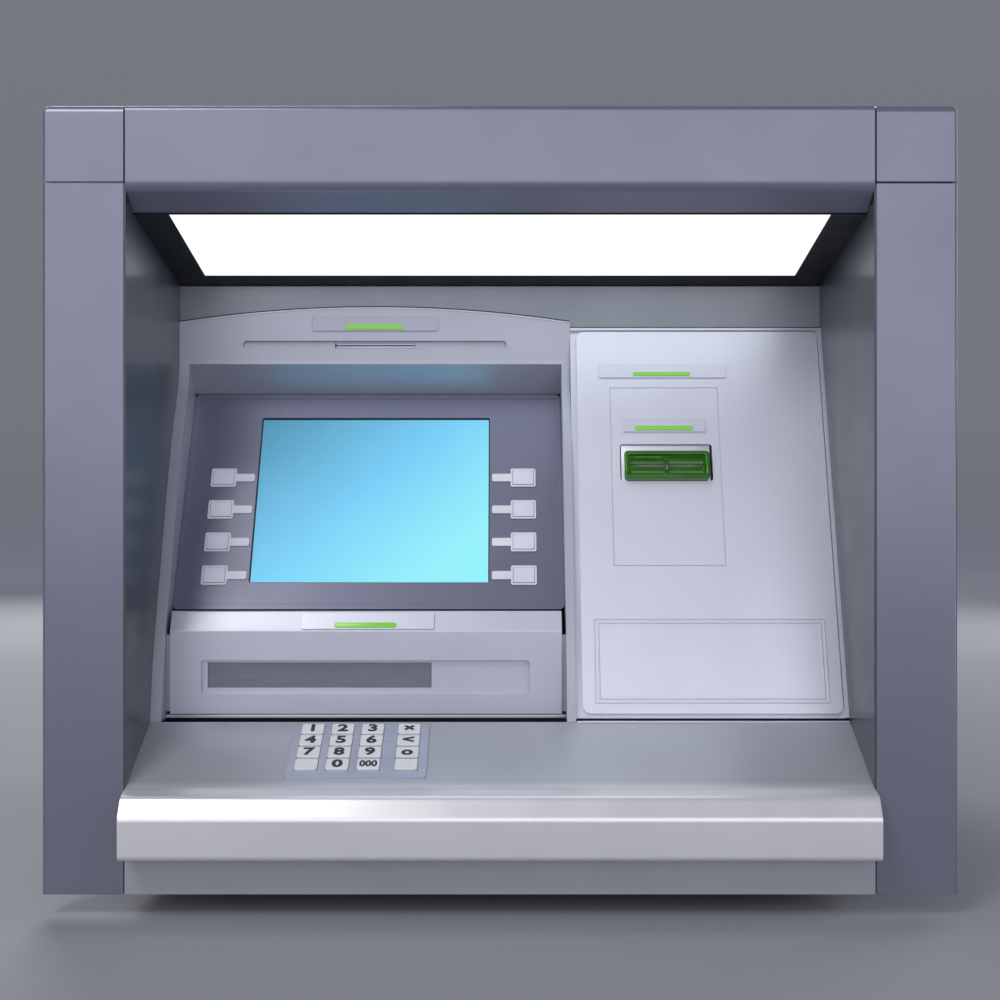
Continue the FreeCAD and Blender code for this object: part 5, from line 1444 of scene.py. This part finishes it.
@dataclass
class Cabinet(SubAssembly):
    """The service cabinet, its louvred door and what it holds."""

    nodes: tuple[str, ...] = ("cabinet_shell", "rear_door", "rear_door_latch", "pc_unit", "receipt_printer",
                              "receipt_roll")
    sheet: float = 0.002
    louvres: int = 9
    louvre_size: tuple[float, float] = (0.180, 0.0045)
    louvre_pitch: float = 0.016
    louvre_from_top: float = 0.060
    louvre_from_middle: float = 0.149
    hood: float = 0.0045
    hood_edge: float = 0.0007
    hood_height: float = 0.004
    hood_droop: float = 0.0038
    hood_lean: float = 0.0012
    screw_inset: float = 0.018
    seam: tuple[float, float] = (0.018, 0.0014)
    seam_edge: float = 0.0006
    web_half: float = 0.00015
    nut: tuple[float, float] = (0.0185, 0.005)
    plug: tuple[float, float] = (0.0105, 0.0035)
    barrel: tuple[float, float] = (0.0036, 0.0012)
    plate_half: float = 0.108
    plate_depth: float = 0.0012
    vent_pitch: float = 0.009
    socket_pitch: float = 0.026
    guard_centre: tuple[float, float] = (-0.055, 0.010)
    guard_rings: tuple[float, ...] = (0.010, 0.020, 0.030, 0.038)
    wire: float = 0.0008

    def build(self) -> list[bpy.types.Object]:
        """Makes the cabinet's fittings.

        Returns:
            The new pieces.
        """
        return [self.hoods(), self.gasket(), self.shell_screws(), self.roof_seam(), self.gland_nut(),
                self.latch_lock(), self.computer_face(), self.computer_fan(), self.paper(),
                self.printer_cover()]

    def hoods(self) -> bpy.types.Object:
        """Makes the pressed hood over each louvre.

        Returns:
            The new piece.
        """
        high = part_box("rear_door")[1]
        back = high.y
        half = self.louvre_size[0] / 2 + 0.0012
        first = high.z - self.louvre_from_top - (self.louvres - 1) * self.louvre_pitch
        bm = bmesh.new()
        for side in (-1, 1):
            centre = side * self.louvre_from_middle
            for row in range(self.louvres):
                top = first + row * self.louvre_pitch + self.louvre_size[1]
                hood = bmesh.new()
                block(hood, (centre - half, back - 0.0002, top),
                      (centre + half, back + self.hood, top + self.hood_height))
                outer = [v for v in hood.verts if v.co.y > back + 0.001]
                bmesh.ops.translate(hood, verts=outer, vec=(0, 0, -self.hood_droop))
                upper = [v for v in outer if v.co.z > top - 0.001]
                bmesh.ops.translate(hood, verts=upper, vec=(0, -self.hood_lean, 0))
                round_edges(hood, hood.edges[:], self.hood_edge)
                merge(bm, hood)
        return finished(bm, "louvre_hoods", "rear_door", "cabinet_paint")

    def gasket(self) -> bpy.types.Object:
        """Makes the rubber strip round the inside of the door.

        Returns:
            The new piece.
        """
        low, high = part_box("rear_door")
        seat = Seat(Vector((0, high.y - self.sheet, (low.z + high.z) / 2)), -BACK)
        bm = ring_plate(2 * abs(low.x) - 0.010, high.z - low.z - 0.010, 0.010, 0.007, 0.0055, seat.matrix())
        return finished(bm, "door_gasket", "rear_door", "foot_rubber", FOAM)

    def shell_screws(self) -> bpy.types.Object:
        """Makes the screws that hold the cabinet's sides.

        Returns:
            The new piece.
        """
        low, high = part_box("cabinet_shell")
        side = abs(low.x)
        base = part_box("vault_body")[1].z
        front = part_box("vault_body")[0].y
        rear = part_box("rear_door")[0].y
        places = []
        for out in (LEFT, RIGHT):
            seat = Seat(Vector((out.x * side, 0, 0)), out)
            for y in (front + 0.015, (front + rear) / 2, rear - 0.045):
                for z in (base + self.screw_inset, high.z - self.screw_inset):
                    places.append(Matrix.Translation((0, y, z)) @ seat.matrix())
        return screws("cabinet_screws", "root", places)

    def roof_seam(self) -> bpy.types.Object:
        """Makes the folded seams where the cabinet's sides meet its front plates.

        Returns:
            The new piece.
        """
        low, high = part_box("cabinet_shell")
        vault_low, vault_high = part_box("vault_body")
        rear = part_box("rear_door")[0].y
        side = abs(low.x)
        width, depth = self.seam
        bm = bmesh.new()
        for sign in (-1, 1):
            x0, x1 = sorted((sign * side, sign * (side + depth)))
            for y in (vault_low.y + 0.006, rear - 0.024):
                block(bm, (x0, y, vault_high.z + 0.004), (x1, y + width, high.z - 0.004), self.seam_edge)
            block(bm, (x0, vault_low.y + 0.004, vault_high.z - 0.008),
                  (x1, rear - 0.075, vault_high.z + 0.010), self.seam_edge)
        return finished(bm, "cabinet_seams", "root", "cabinet_paint")

    def gland_nut(self) -> bpy.types.Object:
        """Makes the hexagon nut and blanking plug of the cable gland.

        Returns:
            The new piece.
        """
        side = abs(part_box("cabinet_shell")[0].x)
        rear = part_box("vault_body")[1].y
        low, high = corners_of(p for p in corner_points("cabinet_shell")
                               if side + 0.0115 < p.x < side + 0.0125 and p.y < rear - 0.06)
        seat = Seat(Vector((side + 0.0001, (low.y + high.y) / 2, (low.z + high.z) / 2)), RIGHT)
        bm = bmesh.new()
        disc(bm, *self.nut, seat.matrix(), 6, 0.0012)
        plug = bmesh.new()
        disc(plug, *self.plug, seat.matrix(lift=0.0118), 24, 0.0014, bore=0.004, sunk=0.0012)
        merge(bm, plug)
        return finished(bm, "gland_nut", "root", "dark_trim")

    def latch_lock(self) -> bpy.types.Object:
        """Makes the key barrel in the latch's grip.

        Returns:
            The new piece.
        """
        low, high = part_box("rear_door_latch")
        foot, top = corners_of(p for p in corner_points("rear_door_latch") if p.y > high.y - 0.0001)
        seat = Seat(Vector(((low.x + high.x) / 2, high.y - 0.0002, (foot.z + top.z) / 2)), BACK)
        bm = bmesh.new()
        disc(bm, *self.barrel, seat.matrix(), 20, 0.0004)
        block(bm, (-0.0022, -0.0004, 0.0008), (0.0022, 0.0004, 0.0014), 0.0001, 1, seat.matrix())
        return finished(bm, "latch_barrel", "rear_door_latch", "bolt_steel")

    def computer_face(self) -> bpy.types.Object:
        """Makes the computer's rear plate: connector row, vent slots and a power inlet.

        Returns:
            The new piece.
        """
        seat = face_of("pc_unit", BACK)
        half, depth = self.plate_half, self.plate_depth
        lift = depth - 0.0001
        bm = bmesh.new()
        block(bm, (-half, -half, 0), (half, half, depth), 0.0006, 2, seat.matrix())
        for row in range(8):
            place = seat.matrix(0.055, -0.085 + row * self.vent_pitch, lift)
            block(bm, (-0.042, -0.0022, 0), (0.042, 0.0022, 0.0012), 0.0006, 2, place)
        for index in range(5):
            place = seat.matrix(-0.085 + index * self.socket_pitch, 0.088, lift)
            block(bm, (-0.009, -0.005, 0), (0.009, 0.005, 0.006), 0.0008, 2, place)
        block(bm, (-0.014, -0.011, 0), (0.014, 0.011, 0.005), 0.0015, 2, seat.matrix(-0.080, -0.070, lift))
        return finished(bm, "computer_rear_plate", "root", "pc_case", FINISHES["shutter_steel"])

    def computer_fan(self) -> bpy.types.Object:
        """Makes the fan's guard: rings on four spokes.

        Returns:
            The new piece.
        """
        seat = face_of("pc_unit", BACK)
        wire = self.wire
        bm = bmesh.new()
        for radius in self.guard_rings:
            ring = bmesh.new()
            corners = ((-wire, 0), (wire, 0), (wire, 2 * wire), (-wire, 2 * wire))
            profile = ring.faces.new([ring.verts.new((radius + x, 0, z)) for x, z in corners])
            bmesh.ops.spin(ring, geom=[*profile.edges, *profile.verts], cent=(0, 0, 0), axis=(0, 0, 1),
                           angle=2 * math.pi, steps=32, use_merge=True)
            bmesh.ops.delete(ring, geom=[profile], context="FACES_ONLY")
            bmesh.ops.transform(ring, verts=ring.verts, matrix=seat.matrix(*self.guard_centre, 0.004))
            merge(bm, ring)
        for turn in range(4):
            place = seat.matrix(*self.guard_centre, 0.0035, turn * math.pi / 4)
            block(bm, (-0.041, -0.0009, 0), (0.041, 0.0009, 0.0014), 0.0004, 2, place)
        return finished(bm, "computer_fan_guard", "root", "pc_case", FINISHES["bolt_steel"])

    def paper(self) -> bpy.types.Object:
        """Makes the paper that runs from the roll down into the printer.

        Returns:
            The new piece.
        """
        low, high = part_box("receipt_roll")
        _, printer_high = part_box("receipt_printer")
        radius = (high.z - low.z) / 2
        centre_y = (low.y + high.y) / 2
        start = Vector((0, centre_y - radius * 0.94, (low.z + high.z) / 2))
        end = Vector((0, low.y - 0.012, printer_high.z - 0.058))
        bm = bmesh.new()
        block(bm, (low.x + 0.002, -self.web_half, 0), (high.x - 0.002, self.web_half, (end - start).length))
        cuts = [e for e in bm.edges if abs((e.verts[0].co - e.verts[1].co).z) > 0.01]
        bmesh.ops.subdivide_edges(bm, edges=cuts, cuts=8, use_grid_fill=True)
        angle = math.atan2(end.y - start.y, end.z - start.z)
        bmesh.ops.rotate(bm, verts=bm.verts, cent=(0, 0, 0), matrix=Matrix.Rotation(-angle, 3, "X"))
        bmesh.ops.translate(bm, verts=bm.verts, vec=start)
        return finished(bm, "receipt_paper_web", "root", "paper")

    def printer_cover(self) -> bpy.types.Object:
        """Makes the printer's lid with its thumb catches.

        Returns:
            The new piece.
        """
        low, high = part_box("receipt_printer")
        bm = bmesh.new()
        y0 = low.y + 0.014
        block(bm, (low.x + 0.008, y0, low.z + 0.0549), (high.x - 0.008, y0 + 0.040, low.z + 0.059), 0.0016, 3)
        for x in (low.x + 0.030, high.x - 0.030):
            block(bm, (x - 0.009, y0 + 0.026, low.z + 0.0585), (x + 0.009, y0 + 0.034, low.z + 0.062), 0.0012)
        return finished(bm, "printer_lid", "root", "black_case")


@dataclass
class Vault(SubAssembly):
    """The vault, its door and bolt work, the dispenser and the feet."""

    nodes: tuple[str, ...] = ("vault_body", "vault_door", "vault_bolts", "vault_handle", "dispenser",
                              "cash_cassettes", "levelling_feet")
    weld: float = 0.0022
    ripple: float = 0.0045
    border_edge: float = 0.0008
    cover: tuple[float, float] = (0.024, 0.003)
    cover_aside: float = 0.070
    hinge_pin: float = 0.010
    cap: tuple[float, float] = (0.0088, 0.003)
    handle_half: float = 0.055
    rail: float = 0.008
    lock: tuple[float, float] = (0.008, 0.004)
    foot_nut: tuple[float, float] = (0.0125, 0.0045)
    nut_height: float = 0.0085

    def build(self) -> list[bpy.types.Object]:
        """Makes the vault's fittings."""
        return [self.welds(), self.door_frame(), self.key_cover(), self.hinge_caps(), self.cassette_handles(),
                self.cassette_locks(), self.foot_nuts()]

    def welds(self) -> bpy.types.Object:
        """Makes the weld beads along the vault's corners.

        Returns:
            The new piece.
        """
        low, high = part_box("vault_body")
        side = abs(low.x)
        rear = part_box("rear_door")[0].y
        bm = bmesh.new()
        for x in (-side, side):
            bead(bm, (x, low.y + 0.003, high.z), (x, rear - 0.012, high.z), self.weld, self.ripple)
            bead(bm, (x, low.y, low.z + 0.004), (x, low.y, high.z - 0.004), self.weld, self.ripple)
            bead(bm, (x, low.y + 0.004, low.z + self.weld), (x, rear - 0.012, low.z + self.weld), self.weld,
                 self.ripple)
        return finished(bm, "vault_welds", "root", "vault_paint", crease=60)

    def door_frame(self) -> bpy.types.Object:
        """Makes the raised border on the vault door.

        Returns:
            The new piece.
        """
        seat = Seat(Vector((0, self.door_back(), 0)), BACK)
        low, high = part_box("vault_door")
        place = Matrix.Translation((0, 0, (low.z + high.z) / 2)) @ seat.matrix()
        bm = ring_plate(2 * abs(low.x) - 0.012, high.z - low.z - 0.012, 0.018, 0.014, 0.003, place)
        corners = [e for e in bm.edges if e.calc_face_angle(0) > 1.0]
        round_edges(bm, corners, self.border_edge)
        return finished(bm, "vault_door_border", "vault_door", "vault_paint")

    def door_back(self) -> float:
        """How far back the vault door's outer face is."""
        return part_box("vault_door")[1].y

    def key_cover(self) -> bpy.types.Object:
        """Makes the swivelling cover over the vault's keyhole.

        Returns:
            The new piece.
        """
        low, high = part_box("vault_handle")
        spot = Vector((low.x - self.cover_aside, self.door_back() - 0.0002, (low.z + high.z) / 2))
        seat = Seat(spot, BACK)
        bm = bmesh.new()
        disc(bm, *self.cover, seat.matrix(), 40, 0.001)
        block(bm, (-0.008, -0.018, 0), (0.008, 0.012, 0.0022), 0.0009, 3, seat.matrix(0, 0, 0.0029))
        pivot = bmesh.new()
        disc(pivot, 0.004, 0.002, seat.matrix(0, 0.006, 0.005), 16, 0.0006, bore=0.0016, sunk=0.0006)
        merge(bm, pivot)
        return finished(bm, "vault_key_cover", "vault_door", "latch_zinc")

    def hinge_caps(self) -> bpy.types.Object:
        """Makes the domed caps on the hinge pins.

        Returns:
            The new piece.
        """
        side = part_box("vault_body")[1].x
        low, high = corners_of(p for p in corner_points("vault_body") if p.x > side - 0.0004)
        bm = bmesh.new()
        for z, out in ((low.z, -ROOF), (high.z, ROOF)):
            spot = Vector((side - self.hinge_pin, (low.y + high.y) / 2, round(z, 4)))
            cap = bmesh.new()
            disc(cap, *self.cap, Seat(spot, out).matrix(), 24, 0.0016)
            merge(bm, cap)
        return finished(bm, "hinge_caps", "root", "bolt_steel")

    def cassette_handles(self) -> bpy.types.Object:
        """Makes the folding carrying handle on each note box.

        Returns:
            The new piece.
        """
        bm = bmesh.new()
        half, post = self.handle_half, 0.004
        for low, high in self.cassette_boxes():
            back = high.y - self.rail
            middle = (low.x + high.x) / 2
            z = (low.z + high.z) / 2 - self.rail
            for x in (middle - half, middle + half):
                block(bm, (x - post, back, z - 0.005), (x + post, back + 0.011, z + 0.005), 0.0012, 3)
            block(bm, (middle - half - post, back + 0.0065, z - 0.004),
                  (middle + half + post, back + 0.0125, z + 0.004), 0.0022, 3)
        return finished(bm, "cassette_handles", "root", "black_case")

    def cassette_boxes(self) -> list[tuple[Vector, Vector]]:
        """The lowest and highest corner of each note box.

        Returns:
            Two corners for each box.
        """
        bm = copy_of("cash_cassettes")
        boxes = [corners_of(v.co for v in shape) for shape in islands(bm)]
        bm.free()
        return boxes

    def cassette_locks(self) -> bpy.types.Object:
        """Makes each note box's lock and its blank label holder.

        Returns:
            The new piece.
        """
        bm = bmesh.new()
        for low, high in self.cassette_boxes():
            back = high.y - self.rail
            z = (low.z + high.z) / 2 - self.rail
            seat = Seat(Vector((low.x + 0.026, back - 0.0001, z)), BACK)
            lock = bmesh.new()
            disc(lock, *self.lock, seat.matrix(), 24, 0.0012, bore=0.003, sunk=0.001)
            merge(bm, lock)
            block(bm, (high.x - 0.050, back - 0.0001, z - 0.009), (high.x - 0.012, back + 0.0012, z + 0.009),
                  0.0005)
        return finished(bm, "cassette_locks", "root", "latch_zinc")

    def foot_nuts(self) -> bpy.types.Object:
        """Makes the lock nut on each levelling foot.

        Returns:
            The new piece.
        """
        bm = bmesh.new()
        shapes = copy_of("levelling_feet")
        for shape in islands(shapes):
            low, high = corners_of(v.co for v in shape)
            spot = Vector(((low.x + high.x) / 2, (low.y + high.y) / 2, self.nut_height))
            nut = bmesh.new()
            disc(nut, *self.foot_nut, Seat(spot, ROOF).matrix(), 6, 0.0008)
            merge(bm, nut)
        shapes.free()
        return finished(bm, "foot_nuts", "root", "latch_zinc")


@dataclass
class Studio:
    """The pale floor, soft lights and the camera in front of the machine."""

    distance: float = 1.616
    eye_height: float = 0.375
    lens: float = 50.0
    floor_size: float = 30.0
    lamps: tuple[tuple[str, Vector, Vector, tuple[float, float], float, Colour], ...] = (
        ("front_bank", Vector((0, -3.6, 1.30)), Vector((0, 0, 1.15)), (4.6, 2.1), 37.0, (0.92, 0.92, 1.0)),
        ("key_light", Vector((-1.3, -2.2, 2.6)), Vector((0, 0, 0.45)), (1.2, 1.2), 26.0, (1.0, 1.0, 0.98)),
        ("back_light", Vector((-1.2, 2.8, 2.2)), Vector((0, 0.2, 0.4)), (1.8, 1.8), 48.0, (1.0, 1.0, 1.0)),
        ("back_fill", Vector((2.4, 2.0, 1.4)), Vector((0, 0.2, 0.4)), (1.6, 1.6), 22.0, (0.96, 0.97, 1.0)),
        ("right_fill", Vector((1.6, -1.5, 0.18)), Vector((0.36, -0.38, 0.28)), (0.8, 0.8), 2.6,
         (0.96, 0.96, 1.0)),
    )

    def build(self) -> None:
        """Sets up the floor, the sky, the lamps and the camera."""
        self.floor()
        self.sky()
        for name, spot, aim, size, power, colour in self.lamps:
            self.lamp(name, spot, aim, size, power, colour)
        data = bpy.data.cameras.new("camera")
        data.lens = self.lens
        camera = bpy.data.objects.new("camera", data)
        camera.location = (0, -self.distance, self.eye_height)
        camera.rotation_euler = (math.radians(90), 0, 0)
        bpy.context.scene.collection.objects.link(camera)
        bpy.context.scene.camera = camera
        bpy.context.scene.view_settings.view_transform = "Standard"

    def floor(self) -> None:
        """Lays the pale floor."""
        bm = bmesh.new()
        bmesh.ops.create_grid(bm, x_segments=1, y_segments=1, size=self.floor_size)
        mesh = bpy.data.meshes.new("floor")
        bm.to_mesh(mesh)
        bm.free()
        mesh.materials.append(material_of(StudioFloor("studio_floor", tone(168, 170, 176))))
        floor = bpy.data.objects.new("floor", mesh)
        bpy.context.scene.collection.objects.link(floor)

    def sky(self) -> None:
        """Makes the studio's surroundings: an even grey, slightly darker at the horizon."""
        world = bpy.data.worlds.new("studio")
        world.use_nodes = True
        bpy.context.scene.world = world
        nodes, links = world.node_tree.nodes, world.node_tree.links
        split = nodes.new("ShaderNodeSeparateXYZ")
        links.new(nodes.new("ShaderNodeTexCoord").outputs["Generated"], split.inputs["Vector"])
        ramp = nodes.new("ShaderNodeValToRGB")
        links.new(split.outputs["Z"], ramp.inputs["Fac"])
        stops = ((0.0, tone(117, 119, 126)), (0.07, tone(123, 125, 133)), (0.45, tone(124, 126, 137)))
        ramp.color_ramp.elements.new(0.5)
        for element, (place, colour) in zip(ramp.color_ramp.elements, stops):
            element.position = place
            element.color = (*colour, 1.0)
        links.new(ramp.outputs["Color"], nodes["Background"].inputs["Color"])
        nodes["Background"].inputs["Strength"].default_value = 0.9

    def lamp(self, name: str, spot: Vector, aim: Vector, size: tuple[float, float], power: float,
             colour: Colour) -> None:
        """Hangs one soft lamp that points at a spot on the machine.

        Args:
            name: The lamp's name.
            spot: Where it hangs.
            aim: Where it points.
            size: Its width and height.
            power: Its power, in watts.
            colour: The colour of its light.
        """
        data = bpy.data.lights.new(name, "AREA")
        data.shape = "RECTANGLE"
        data.size, data.size_y = size
        data.energy = power
        data.color = colour
        lamp = bpy.data.objects.new(name, data)
        lamp.location = spot
        lamp.rotation_euler = (aim - spot).to_track_quat("-Z", "Y").to_euler()
        lamp.visible_camera = False
        bpy.context.scene.collection.objects.link(lamp)


def main() -> None:
    """Builds the studio and each sub-assembly, and reports every new piece."""
    logging.basicConfig(level=logging.INFO, format="%(name)s: %(message)s")
    Studio().build()
    for group in (Surround(), Bay(), Fascia(), Display(), Keypad(), CardSlot(), Cabinet(), Vault()):
        pieces = group.finish()
        LOG.info("%s: %d nodes, %d new pieces", type(group).__name__, len(group.nodes), len(pieces))
        for piece in pieces:
            LOG.info("  %s: %d faces", piece.name, len(piece.data.polygons))


if __name__ == "__main__":
    main()
